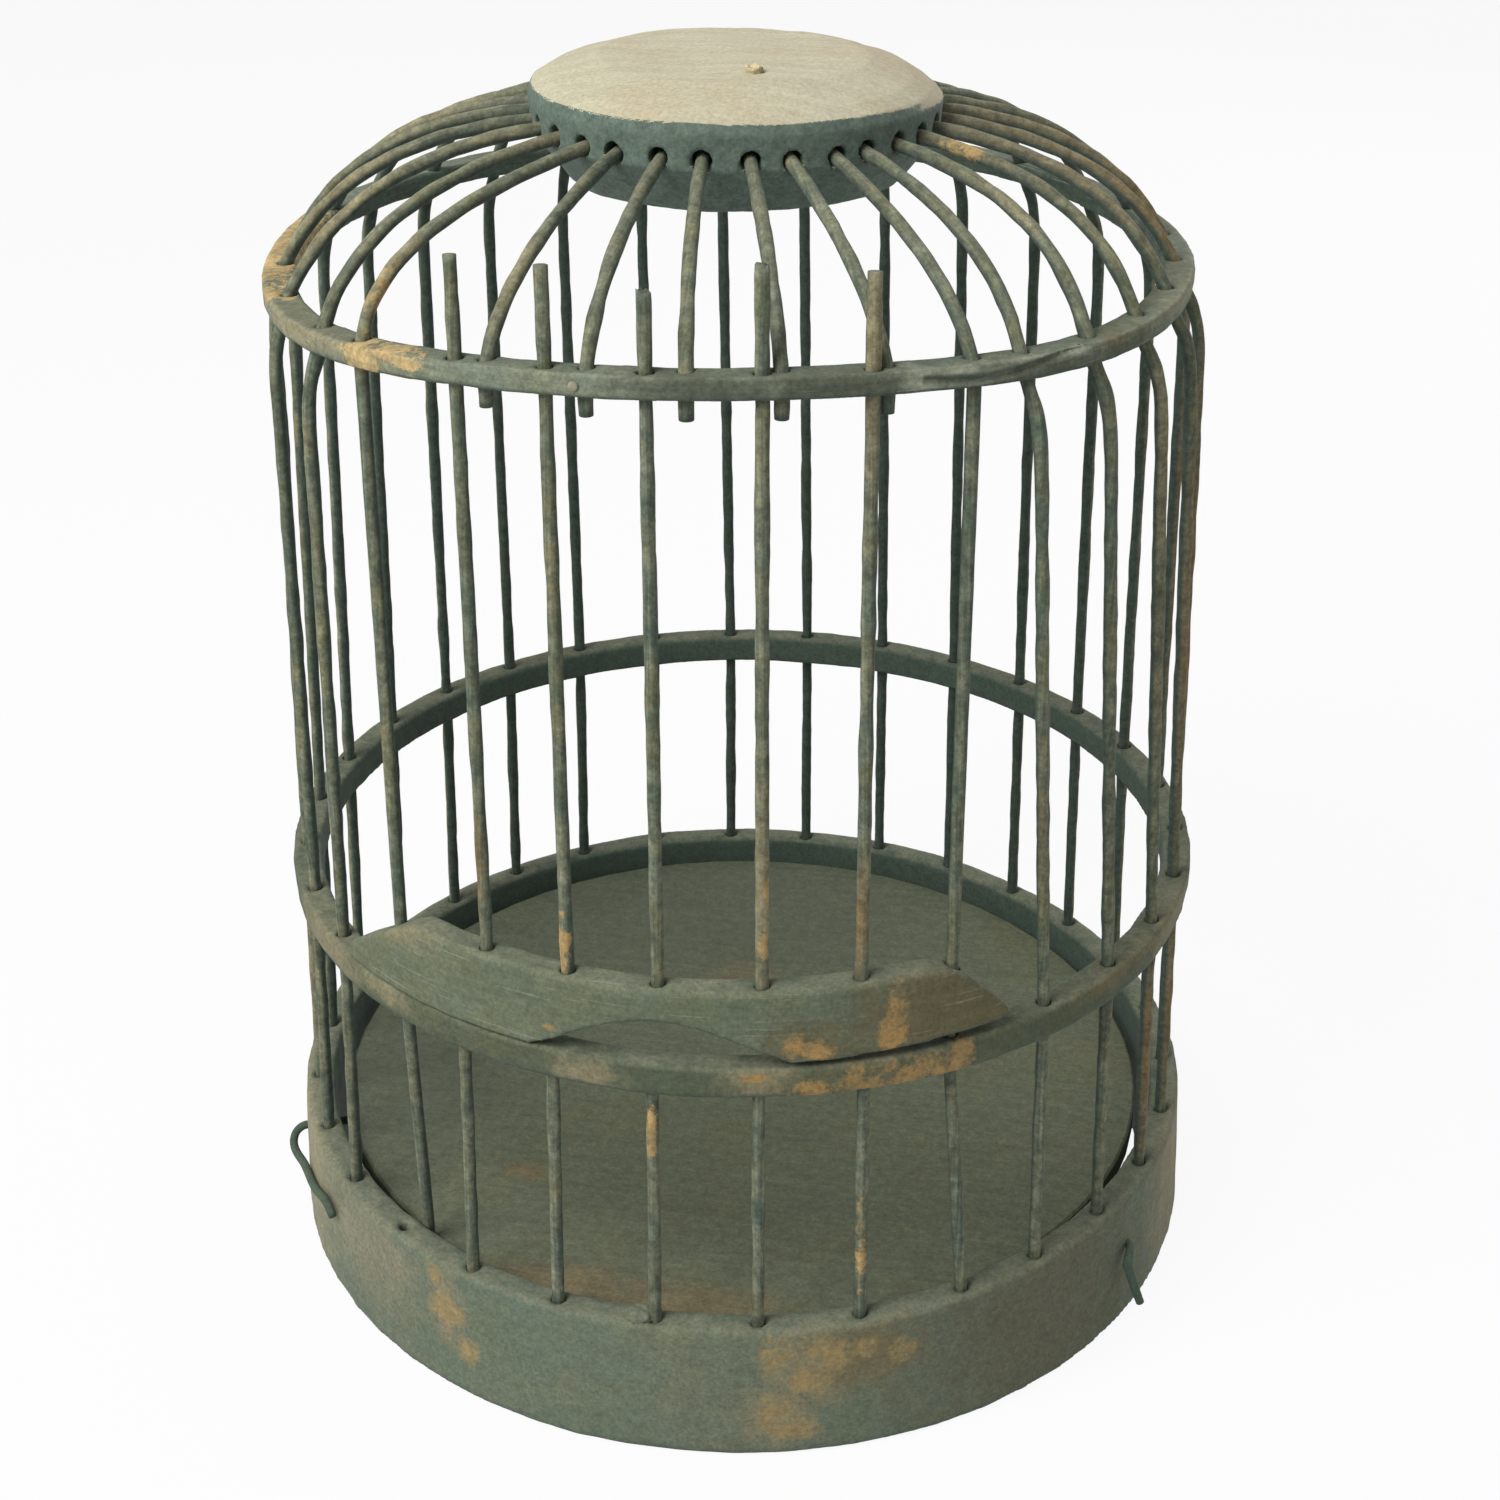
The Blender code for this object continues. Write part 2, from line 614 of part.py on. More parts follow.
def main():
    doorway = [BAR_STEP * index for index in range(-DOORWAY_BARS, DOORWAY_BARS + 1)]
    ribs = [rib_route(BAR_STEP * index) for index in range(GUIDE_BAR + 1, BAR_COUNT - GUIDE_BAR)]
    ribs = [guide_route(1), *ribs, guide_route(-1)]
    short_ribs = [short_rib_route(*ends) for ends in zip(SHORT_RIB_SEATS, SHORT_RIB_CROSSINGS)]
    lower_bars = [lower_bar_route(azimuth) for azimuth in doorway]
    door_bars = [door_bar_route(*ends) for ends in zip(DOOR_BAR_AZIMUTHS, DOOR_BAR_TOPS)]

    bar_holes = hole_cutter("bar_holes", ribs + short_ribs + lower_bars, FIT)
    empty_azimuth = -BAR_STEP * GUIDE_BAR
    empty_foot = [polar(BASE_CIRCLE, empty_azimuth, height) for height in (FOOT_END, BASE_HEIGHT + OVERRUN)]
    foot_hole = hole_cutter("empty_foot_hole", [empty_foot], FIT)
    running_holes = hole_cutter("door_bar_running_holes", door_bars, SLIDE_FIT)
    seat_holes = hole_cutter("door_bar_seat_holes", door_bars, FIT)
    guide_holes = hole_cutter("guide_holes", [guide_run(-1), guide_run(1)], SLIDE_FIT)
    pins = (
        ("pin_right", RIGHT_PIN_AZIMUTH, SHORT_LEG_SHARES, SHORT_LEG_STANDOFF, SHORT_LEG_DROP),
        ("pin_left", LEFT_PIN_AZIMUTH, LONG_LEG_SHARES, LONG_LEG_STANDOFF, LONG_LEG_DROP),
        ("pin_back", BACK_PIN_AZIMUTH, BACK_LEG_SHARES, BACK_LEG_STANDOFF, SHORT_LEG_DROP),
    )
    pin_holes = [pin_hole(name, azimuth) for name, azimuth, *_ in pins]
    peg_hole = as_cutter(peg_solid("peg_hole", FIT, CUTTERS))

    make_base_ring(bar_holes, foot_hole, pin_holes)
    make_mid_hoop(bar_holes)
    make_top_hoop(bar_holes, running_holes)
    make_cap(bar_holes, peg_hole)
    finished(peg_solid("hanger_peg", 0, PARTS), BARE_WOOD)
    for number, route in enumerate(ribs, start=1):
        finished(bars(f"rib_{number:02d}", [route], BAR_RADIUS, PARTS), PAINTED_BAMBOO)
    for number, route in enumerate(short_ribs, start=1):
        finished(bars(f"short_rib_{number}", [route], BAR_RADIUS, PARTS), PAINTED_BAMBOO)
    for number, route in enumerate(lower_bars, start=1):
        finished(bars(f"lower_bar_{number}", [route], BAR_RADIUS, PARTS), PAINTED_BAMBOO)

    slide_empty = joint_empty("door_slide", polar(MID_CIRCLE, 0, BOARD_FOOT))
    make_door_board(slide_empty, seat_holes, guide_holes)
    for number, route in enumerate(door_bars, start=1):
        door_bar = bars(f"door_bar_{number}", [route], BAR_RADIUS, PARTS)
        finished(carried_by(door_bar, slide_empty), PAINTED_BAMBOO)

    make_floor_board(joint_empty("floor_lift", Vector((0, 0, PIN_HEIGHT + PIN_RADIUS + FIT))))
    for pin in pins:
        make_pin(*pin)


for leftover in list(bpy.data.objects):
    bpy.data.objects.remove(leftover)
PARTS = collection("bird_cage")
CUTTERS = collection("cutters")
main()
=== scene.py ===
"""The looks of an old bird cage: flat grey-green paint, worn to the wood in places.

The paint is over bamboo bars and wooden hoops."""

import json
import math
import random

import bmesh
import bpy
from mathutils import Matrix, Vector

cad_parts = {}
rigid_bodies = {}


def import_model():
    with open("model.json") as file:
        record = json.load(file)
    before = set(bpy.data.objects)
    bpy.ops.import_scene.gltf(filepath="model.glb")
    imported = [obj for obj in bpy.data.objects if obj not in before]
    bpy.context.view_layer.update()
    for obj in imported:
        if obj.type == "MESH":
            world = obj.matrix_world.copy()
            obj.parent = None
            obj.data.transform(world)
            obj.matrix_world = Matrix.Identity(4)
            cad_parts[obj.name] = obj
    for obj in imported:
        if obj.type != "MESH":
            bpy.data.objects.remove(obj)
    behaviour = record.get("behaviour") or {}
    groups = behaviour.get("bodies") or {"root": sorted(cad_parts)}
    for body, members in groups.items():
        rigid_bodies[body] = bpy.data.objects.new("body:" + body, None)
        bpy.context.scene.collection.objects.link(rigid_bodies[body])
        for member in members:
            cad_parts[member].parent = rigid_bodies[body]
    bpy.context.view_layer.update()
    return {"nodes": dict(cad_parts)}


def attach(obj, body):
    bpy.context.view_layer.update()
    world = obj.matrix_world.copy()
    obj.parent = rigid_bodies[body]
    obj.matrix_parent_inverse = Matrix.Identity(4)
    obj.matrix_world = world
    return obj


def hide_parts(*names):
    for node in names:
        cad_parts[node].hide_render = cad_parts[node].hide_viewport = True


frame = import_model()

# The cage stands on a plain pale table, and is looked down on from its right front.
# Soft window light comes from above and from the left.
bpy.ops.object.select_all(action="DESELECT")
CAMERA_PLACE = (0.12458, -0.69237, 0.53523)
CAMERA_TILT = 62.41
CAMERA_TURN = 10.11
CAMERA_LENS = 55.36
CAMERA_SENSOR = 36
CAMERA_SHIFT = 0.003
CAMERA_NEAREST = 0.01
bpy.ops.object.camera_add(location=CAMERA_PLACE)
camera = bpy.context.active_object
camera.rotation_euler = (math.radians(CAMERA_TILT), 0, math.radians(CAMERA_TURN))
camera.data.lens = CAMERA_LENS
camera.data.sensor_width = CAMERA_SENSOR
camera.data.shift_x = CAMERA_SHIFT
camera.data.clip_start = CAMERA_NEAREST
bpy.context.scene.camera = camera
bpy.context.scene.view_settings.view_transform = "Standard"

for other in [thing for thing in bpy.data.objects if thing.name in ("Cube", "Camera", "Light")]:
    if other != camera:
        bpy.data.objects.remove(other)

WINDOW_PLACE = Vector((-0.85, -1.0, 1.55))
WINDOW_SIZE = 1.1
WINDOW_POWER = 37
ROOM_PLACE = Vector((1.3, -0.4, 1.0))
ROOM_SIZE = 1.4
ROOM_POWER = 1.5
BACK_PLACE = Vector((0.7, 1.5, 1.1))
BACK_POWER = 9
LAMP_AIM = Vector((0, 0, 0.2))
ROOM_GLOW = 0.24
TABLE_WIDTH = 30
TABLE_WHITE = 0.8
TABLE_CLEAR = 0.92


def hung_lamp(name, place, size, power):
    bpy.ops.object.light_add(type="AREA", location=place)
    lamp = bpy.context.active_object
    lamp.name = name
    lamp.rotation_euler = (place - LAMP_AIM).to_track_quat("Z", "Y").to_euler()
    lamp.data.size = size
    lamp.data.energy = power


hung_lamp("window_light", WINDOW_PLACE, WINDOW_SIZE, WINDOW_POWER)
hung_lamp("room_light", ROOM_PLACE, ROOM_SIZE, ROOM_POWER)
hung_lamp("back_light", BACK_PLACE, ROOM_SIZE, BACK_POWER)


def seen_plainly(tree):
    """One where the camera, a mirror or a glass looks, and nothing where the surface only gives light."""
    path = tree.nodes.new("ShaderNodeLightPath")
    total = path.outputs["Is Camera Ray"]
    for ray in ("Is Glossy Ray", "Is Transmission Ray"):
        adding = tree.nodes.new("ShaderNodeMath")
        adding.use_clamp = True
        tree.links.new(total, adding.inputs[0])
        tree.links.new(path.outputs[ray], adding.inputs[1])
        total = adding.outputs[0]
    return total


room = bpy.data.worlds.new("white_room")
room.use_nodes = True
bpy.context.scene.world = room
glow = room.node_tree.nodes["Background"]
glow.inputs["Color"].default_value = (1, 1, 1, 1)
strength = room.node_tree.nodes.new("ShaderNodeMapRange")
strength.inputs["To Min"].default_value = ROOM_GLOW
strength.inputs["To Max"].default_value = 1
room.node_tree.links.new(seen_plainly(room.node_tree), strength.inputs["Value"])
room.node_tree.links.new(strength.outputs["Result"], glow.inputs["Strength"])

bpy.ops.mesh.primitive_plane_add(size=TABLE_WIDTH, location=(0, 0, 0))
table = bpy.context.active_object
table.name = "pale_table"
table_white = bpy.data.materials.new("table_white")
table_white.use_nodes = True
tree = table_white.node_tree
tree.nodes.remove(tree.nodes["Principled BSDF"])
cloth = tree.nodes.new("ShaderNodeBsdfDiffuse")
cloth.inputs["Color"].default_value = (TABLE_WHITE, TABLE_WHITE, TABLE_WHITE, 1)
clear = tree.nodes.new("ShaderNodeEmission")
share = tree.nodes.new("ShaderNodeMath")
share.operation = "MULTIPLY"
share.inputs[1].default_value = TABLE_CLEAR
both = tree.nodes.new("ShaderNodeMixShader")
tree.links.new(seen_plainly(tree), share.inputs[0])
tree.links.new(share.outputs[0], both.inputs[0])
tree.links.new(cloth.outputs[0], both.inputs[1])
tree.links.new(clear.outputs[0], both.inputs[2])
tree.links.new(both.outputs[0], tree.nodes["Material Output"].inputs["Surface"])
table.data.materials.append(table_white)

# The base ring is a deep round rim of wood, sawn and bent, with its edges rubbed down.
# It has the cage's flat grey-green paint, which is dusty outside and flaked to the wood in places.
# It is darker inside, as paint that has faded less and as painted shade, and darker underneath as
# painted shade, and its top carries dust with a painted highlight.
RING_GRAIN = 0.0013
RING_SMOOTHING = 3
RING_WAVE = 0.0009
RING_WAVE_LENGTH = 0.03
WELD = 0.00002
GREEN_COAT = (0.104, 0.138, 0.097)
DUSTY_COAT = (0.160, 0.172, 0.116)
# The inside coat: paint that has faded less, and painted shade inside and underneath.
UNFADED_AND_SHADE_COAT = (0.052, 0.078, 0.056)
TAN_COAT = (0.215, 0.190, 0.108)
BROWN_COAT = (0.150, 0.123, 0.058)
CREAM_COAT = (0.262, 0.236, 0.142)
HAZE_COAT = (0.188, 0.186, 0.124)
# Dust on what faces up, which also serves as a painted highlight there.
SETTLED_DUST_AND_HIGHLIGHT = (0.178, 0.182, 0.118)
YELLOWING = (1.30, 1.06, 0.70)
PALE_SCRATCH = (0.330, 0.340, 0.250)
OLIVE_COAT = (0.104, 0.106, 0.064)
OCHRE_WOOD = (0.305, 0.228, 0.098)
BROWN_WOOD = (0.200, 0.150, 0.068)
FINE_GRAIN = 520
LONG_GRAIN = 30
GRAIN_START = 0.5
FLECK_SCALE = 150
TOOTH_SCALE = 800
AGED_SCALE = 38
MOTTLE_SCALE = 280
BROWN_SPOT_SCALE = 240
PAINT_LEFT_SCALE = 420
SCRATCH_SHAPE = (1.3, 1.3, 2.4)
NOISE_SPAN = (0.3, 0.7)
TOOTH_SPAN = (0.32, 0.68)
INSIDE_SPAN = (-0.25, 0.30)
# How far down a face looks before it gets painted shade.
UNDERSIDE_SHADE_SPAN = (-0.45, 0.05)
BARE_MIDDLE = 0.42
FLAKE_MIDDLE = 0.80
FLAKE_HALF_EDGE = 0.02
BUMP_DEPTH = 0.0003
BUMP_STRENGTH = 0.6
BASE_BARE = (
    ((-0.0765, -0.1395, 0.0415), (0.006, 0.006, 0.006)),
    ((-0.0715, -0.1425, 0.0315), (0.010, 0.010, 0.010)),
    ((-0.0630, -0.1470, 0.0185), (0.007, 0.007, 0.008)),
    ((0.0375, -0.1555, 0.0400), (0.008, 0.008, 0.009)),
    ((0.0540, -0.1505, 0.0370), (0.010, 0.010, 0.010)),
    ((0.0485, -0.1525, 0.0280), (0.009, 0.009, 0.009)),
    ((0.0385, -0.1560, 0.0170), (0.007, 0.007, 0.011)),
    ((0.0440, -0.1540, 0.0100), (0.012, 0.012, 0.006)),
    ((0.0650, -0.1460, 0.0385), (0.006, 0.006, 0.006)),
    ((0.0760, -0.1400, 0.0360), (0.006, 0.006, 0.008)),
)
BASE_TINTS = (
    (TAN_COAT, (
        ((-0.0710, -0.1420, 0.0310), (0.011, 0.011, 0.020)),
        ((-0.0930, -0.1300, 0.0360), (0.010, 0.010, 0.010)),
        ((0.0480, -0.1530, 0.0330), (0.020, 0.020, 0.024)),
        ((0.0400, -0.1560, 0.0150), (0.018, 0.018, 0.018)),
        ((0.1580, -0.0300, 0.0300), (0.016, 0.044, 0.060)),
    )),
    (OLIVE_COAT, (
        ((0.1200, -0.1050, 0.0300), (0.080, 0.070, 0.080)),
    )),
    (CREAM_COAT, (
        ((-0.1420, -0.0700, 0.0330), (0.038, 0.070, 0.050)),
        ((-0.1180, -0.1090, 0.0320), (0.018, 0.018, 0.012)),
    )),
    (HAZE_COAT, (
        ((-0.1060, -0.1200, 0.0340), (0.040, 0.034, 0.028)),
    )),
    (BROWN_COAT, (
        ((0.0660, -0.1450, 0.0360), (0.024, 0.024, 0.018)),
        ((0.1400, 0.0700, 0.0300), (0.030, 0.036, 0.020)),
        ((-0.1560, 0.0300, 0.0180), (0.020, 0.034, 0.012)),
    )),
)


def taken_from(node, name):
    """A copy of the frame's piece, welded into one skin, to be worked over by hand."""
    bpy.ops.object.select_all(action="DESELECT")
    piece = bpy.data.objects.new(name, frame["nodes"][node].data.copy())
    bpy.context.scene.collection.objects.link(piece)
    piece.select_set(True)
    bpy.context.view_layer.objects.active = piece
    if piece.data.has_custom_normals:
        bpy.ops.mesh.customdata_custom_splitnormals_clear()
    bpy.ops.object.mode_set(mode="EDIT")
    bpy.ops.mesh.select_all(action="SELECT")
    bpy.ops.mesh.remove_doubles(threshold=WELD)
    bpy.ops.mesh.tris_convert_to_quads()
    bpy.ops.object.mode_set(mode="OBJECT")
    piece.data.materials.clear()
    return piece


def applied(piece):
    bpy.context.view_layer.objects.active = piece
    for modifier in list(piece.modifiers):
        bpy.ops.object.modifier_apply(modifier=modifier.name)


def uneven(piece, depth, wave_length):
    """The waviness of a surface that is planed and rubbed by hand."""
    wave = bpy.data.textures.new(piece.name + "_wave", "CLOUDS")
    wave.noise_scale = wave_length
    wave.noise_depth = 2
    moved = piece.modifiers.new("Unevenness", "DISPLACE")
    moved.texture = wave
    moved.texture_coords = "LOCAL"
    moved.strength = depth
    moved.mid_level = 0.5


def rubbed_down(piece, grain, smoothing, depth, wave_length):
    """The piece remade as one fine skin with soft edges and a wavy surface."""
    skin = piece.modifiers.new("Skin", "REMESH")
    skin.mode = "VOXEL"
    skin.voxel_size = grain
    soft = piece.modifiers.new("Softening", "SMOOTH")
    soft.iterations = smoothing
    uneven(piece, depth, wave_length)
    applied(piece)
    bpy.ops.object.shade_smooth()


def step(tree, kind, feeds=(), **settings):
    """One step of a finish. Each feed is an input's name, and the value or earlier step that goes there."""
    made = tree.nodes.new("ShaderNode" + kind)
    for name, value in settings.items():
        setattr(made, name, value)
    for name, value in feeds:
        if isinstance(value, bpy.types.NodeSocket):
            tree.links.new(value, made.inputs[name])
        else:
            made.inputs[name].default_value = value
    return made.outputs[0]


def reckon(tree, operation, *values):
    return step(tree, "Math", enumerate(values), operation=operation)


def cloudy(tree, place, scale, detail=4, roughness=0.6):
    feeds = (("Vector", place), ("Scale", scale), ("Detail", detail), ("Roughness", roughness))
    return step(tree, "TexNoise", feeds)


def ramped(tree, value, low, high, bottom=0, top=1):
    feeds = (("Value", value), ("From Min", low), ("From Max", high), ("To Min", bottom), ("To Max", top))
    return step(tree, "MapRange", feeds)


def blended(tree, share, first, second):
    mixing = tree.nodes.new("ShaderNodeMix")
    mixing.data_type = "RGBA"
    for socket, value in zip((mixing.inputs[0], mixing.inputs[6], mixing.inputs[7]), (share, first, second)):
        if isinstance(value, bpy.types.NodeSocket):
            tree.links.new(value, socket)
        else:
            socket.default_value = (*value, 1) if isinstance(value, tuple) else value
    return mixing.outputs[2]


def toned(tree, colour, factor):
    return step(tree, "VectorMath", ((0, colour), ("Scale", factor)), operation="SCALE")


def near_places(tree, place, places):
    """How near a spot is to the middle of the nearest listed place, from nothing to one. The places are worn
    spots, stains, and places of painted shade and painted highlight.
    """
    nearest = None
    for centre, reach in places:
        feeds = (("Vector", place), ("Location", centre), ("Scale", reach))
        spot = step(tree, "Mapping", feeds, vector_type="TEXTURE")
        near = step(tree, "TexGradient", (("Vector", spot),), gradient_type="SPHERICAL")
        nearest = near if nearest is None else reckon(tree, "MAXIMUM", nearest, near)
    return nearest


def frayed(tree, near, ragged):
    """A place's nearness with a ragged rim, and still nothing outside the place."""
    return reckon(tree, "ADD", near, reckon(tree, "MULTIPLY", ramped(tree, near, 0, 0.3), ragged))


def round_the_hoop(tree, place):
    """A grain that runs round the cage: fine across the wood, and long along it."""
    x, y, z = apart(tree, place)
    along_x = reckon(tree, "MULTIPLY", x, LONG_GRAIN)
    along_y = reckon(tree, "MULTIPLY", y, LONG_GRAIN)
    upwards = reckon(tree, "MULTIPLY", reckon(tree, "ADD", z, GRAIN_START), FINE_GRAIN)
    return step(tree, "CombineXYZ", ((0, along_x), (1, along_y), (2, upwards)))


def apart(tree, vector):
    parts = tree.nodes.new("ShaderNodeSeparateXYZ")
    tree.links.new(vector, parts.inputs[0])
    return parts.outputs


def length_of(vector_step):
    """The number that a measuring step gives, which is its second output."""
    return vector_step.node.outputs["Value"]


def flattened(tree, place):
    """The way from the cage's axis to a spot, level, and the same one metre long."""
    flat = step(tree, "VectorMath", ((0, place), (1, (1, 1, 0))), operation="MULTIPLY")
    return flat, step(tree, "VectorMath", ((0, flat),), operation="NORMALIZE")


def facing_out(tree, place):
    """How far a face looks away from the cage's axis, below nothing where it looks in, and how far up."""
    normal = step(tree, "NewGeometry").node.outputs["Normal"]
    out = flattened(tree, place)[1]
    outwards = length_of(step(tree, "VectorMath", ((0, out), (1, normal)), operation="DOT_PRODUCT"))
    return outwards, apart(tree, normal)[2]


def cage_paint(name, run, bare=(), tints=(), coat=GREEN_COAT, dusty=DUSTY_COAT, unfaded_and_shade_coat=UNFADED_AND_SHADE_COAT,
               wood=OCHRE_WOOD, dust=0.5, flakes=0.0, streaks=0.08, edge=0.3, scratches=0.0, cloud=24,
               top_dust_and_highlight=0.8, aged=0.4, mottle=0.12):
    """Flat paint over wood. Run is the way that the fibres and brush marks go. Tints are soft patches of a
    colour in their places: stains, and on some pieces painted shade and painted highlights. The paint is gone
    in the bare ones. What faces in is darkened towards the inside coat, as paint that has faded less and as
    painted shade, and what faces down is darkened towards it as painted shade. The settled share is the dust
    that lies on what faces up, together with a painted highlight there, and aged is how far the paint has
    yellowed in patches."""
    material = bpy.data.materials.new(name)
    material.use_nodes = True
    tree = material.node_tree
    shader = tree.nodes["Principled BSDF"]
    place = step(tree, "TexCoord").node.outputs["Object"]
    way = run(tree, place)
    fibres = cloudy(tree, way, 1, 4, 0.65)
    clouds = cloudy(tree, place, cloud, 5, 0.65)
    flecks = cloudy(tree, place, FLECK_SCALE, 5, 0.68)
    tooth = cloudy(tree, place, TOOTH_SCALE, 4, 0.75)
    yellows = cloudy(tree, place, AGED_SCALE, 5, 0.7)
    blotches = cloudy(tree, place, MOTTLE_SCALE, 4, 0.7)
    out, up = facing_out(tree, place)
    banded = reckon(tree, "ADD", clouds, ramped(tree, fibres, *NOISE_SPAN, -streaks, streaks))

    colour = blended(tree, ramped(tree, banded, 0.36, 0.68, 0, dust), coat, dusty)
    yellowed = step(tree, "VectorMath", ((0, colour), (1, YELLOWING)), operation="MULTIPLY")
    colour = blended(tree, ramped(tree, yellows, 0.44, 0.62, 0, aged), colour, yellowed)
    for tint, places in tints:
        near = frayed(tree, near_places(tree, place, places), ramped(tree, flecks, *NOISE_SPAN, -0.3, 0.3))
        colour = blended(tree, ramped(tree, near, 0.05, 0.7, 0, 0.9), colour, tint)
    # Painted shade: faces that look in are darkened, partly as less faded paint and partly as shade, and
    # faces that look down are darkened as shade.
    colour = blended(tree, ramped(tree, out, *INSIDE_SPAN, 1, 0), colour, unfaded_and_shade_coat)
    colour = blended(tree, ramped(tree, up, *UNDERSIDE_SHADE_SPAN, 0.8, 0), colour, unfaded_and_shade_coat)
    # Dust and a painted highlight on what faces up.
    dust_and_highlight_on_top = reckon(tree, "MULTIPLY", ramped(tree, up, 0.3, 0.9), ramped(tree, flecks, 0.34, 0.64, 0.1, 1))
    colour = blended(tree, reckon(tree, "MULTIPLY", dust_and_highlight_on_top, top_dust_and_highlight), colour, SETTLED_DUST_AND_HIGHLIGHT)
    if scratches:
        thin = step(tree, "VectorMath", ((0, way), (1, SCRATCH_SHAPE)), operation="MULTIPLY")
        scored = ramped(tree, cloudy(tree, thin, 1, 2), 0.62, 0.74, 0, scratches)
        colour = blended(tree, scored, colour, PALE_SCRATCH)
    colour = toned(tree, colour, ramped(tree, fibres, *NOISE_SPAN, 1 - streaks, 1 + streaks))
    colour = toned(tree, colour, ramped(tree, tooth, *TOOTH_SPAN, 0.72, 1.28))
    colour = toned(tree, colour, ramped(tree, blotches, 0.36, 0.64, 1 - mottle, 1 + mottle))

    flake_low = FLAKE_MIDDLE - FLAKE_HALF_EDGE - flakes
    flake_high = FLAKE_MIDDLE + FLAKE_HALF_EDGE - flakes
    worn = ramped(tree, flecks, flake_low, flake_high)
    if bare:
        coarse = ramped(tree, flecks, *NOISE_SPAN, -0.5, 0.5)
        fine = ramped(tree, tooth, *NOISE_SPAN, -0.1, 0.1)
        near = frayed(tree, near_places(tree, place, bare), reckon(tree, "ADD", coarse, fine))
        rubbed = ramped(tree, near, BARE_MIDDLE - edge / 2, BARE_MIDDLE + edge / 2)
        worn = reckon(tree, "MAXIMUM", worn, rubbed)
    brown_spots = ramped(tree, cloudy(tree, place, BROWN_SPOT_SCALE, 4), 0.40, 0.66, 0, 0.7)
    paint_left = ramped(tree, cloudy(tree, place, PAINT_LEFT_SCALE, 3, 0.7), 0.50, 0.62, 0, 0.45)
    fleshed = blended(tree, brown_spots, wood, BROWN_WOOD)
    fleshed = blended(tree, paint_left, fleshed, colour)
    fleshed = toned(tree, fleshed, ramped(tree, fibres, *NOISE_SPAN, 0.88, 1.12))
    fleshed = toned(tree, fleshed, ramped(tree, tooth, *TOOTH_SPAN, 0.82, 1.18))
    tree.links.new(blended(tree, worn, colour, fleshed), shader.inputs["Base Color"])
    tree.links.new(ramped(tree, clouds, *NOISE_SPAN, 0.76, 0.92), shader.inputs["Roughness"])

    ridges = reckon(tree, "MULTIPLY", fibres, 6 * streaks)
    height = reckon(tree, "ADD", ridges, reckon(tree, "MULTIPLY", tooth, 0.7))
    height = reckon(tree, "SUBTRACT", height, reckon(tree, "MULTIPLY", worn, 0.3))
    feeds = (("Strength", BUMP_STRENGTH), ("Distance", BUMP_DEPTH), ("Height", height))
    tree.links.new(step(tree, "Bump", feeds), shader.inputs["Normal"])
    return material


def dressed(piece, material, body, slot, *nodes):
    piece.data.materials.append(material)
    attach(piece, body)
    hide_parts(*nodes)


base_ring = taken_from("base_ring", "base_rim")
rubbed_down(base_ring, RING_GRAIN, RING_SMOOTHING, RING_WAVE, RING_WAVE_LENGTH)
base_paint = cage_paint("base_paint", round_the_hoop, BASE_BARE, BASE_TINTS, streaks=0.03, edge=0.6, aged=0.3)
dressed(base_ring, base_paint, "frame", "painted_wood", "base_ring")

LUMP_PLACE = Vector((-0.0048, -0.1530, 0.0480))
LUMP_RADIUS = 0.0040
LUMP_SHAPE = (1.3, 1, 0.6)
LUMP_WAVE = 0.0022
bpy.ops.object.select_all(action="DESELECT")
bpy.ops.mesh.primitive_ico_sphere_add(subdivisions=4, radius=LUMP_RADIUS, location=LUMP_PLACE)
lump = bpy.context.active_object
lump.name = "paint_lump"
bpy.ops.object.mode_set(mode="EDIT")
bpy.ops.transform.resize(value=LUMP_SHAPE)
bpy.ops.object.mode_set(mode="OBJECT")
bpy.ops.object.transform_apply(location=True, rotation=True, scale=True)
uneven(lump, LUMP_WAVE, LUMP_WAVE)
applied(lump)
bpy.ops.object.shade_smooth()
lump.data.materials.append(base_paint)
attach(lump, "frame")

# The floor is a loose round board, with dark dirty paint that has soaked into its grain.
# Brown wood shows through in cloudy patches, mostly at the front.
# Along the back and the left, next to the ring, the floor is painted darker as shade, and a thin dark streak
# crosses its middle.
FLOOR_COAT = (0.092, 0.107, 0.066)
FLOOR_DUST = (0.136, 0.144, 0.090)
FLOOR_BROWN = (0.205, 0.122, 0.044)
FLOOR_SHADE_AND_STREAK = (0.056, 0.068, 0.046)
BOARD_TURN = 0.25
BOARD_GRAIN_SCALE = (25, 420, 420)
SHARP_EDGE = 40
FLOOR_TINTS = (
    # Painted shade along the back and left wall, and a thin dark streak across the middle.
    (FLOOR_SHADE_AND_STREAK, (
        ((-0.0300, 0.1000, 0.0399), (0.130, 0.090, 0.010)),
        ((-0.1200, -0.0200, 0.0399), (0.070, 0.130, 0.010)),
        ((0.0200, 0.0300, 0.0399), (0.050, 0.012, 0.010)),
    )),
    (FLOOR_BROWN, (
        ((-0.0330, -0.1330, 0.0399), (0.036, 0.013, 0.010)),
        ((0.0080, -0.1400, 0.0399), (0.050, 0.018, 0.010)),
        ((-0.0080, 0.0400, 0.0399), (0.022, 0.030, 0.010)),
        ((-0.0600, -0.0800, 0.0399), (0.012, 0.006, 0.010)),
    )),
)


def along_the_board(tree, place):
    feeds = (("Vector", place), ("Rotation", (0, 0, BOARD_TURN)), ("Scale", BOARD_GRAIN_SCALE))
    return step(tree, "Mapping", feeds)


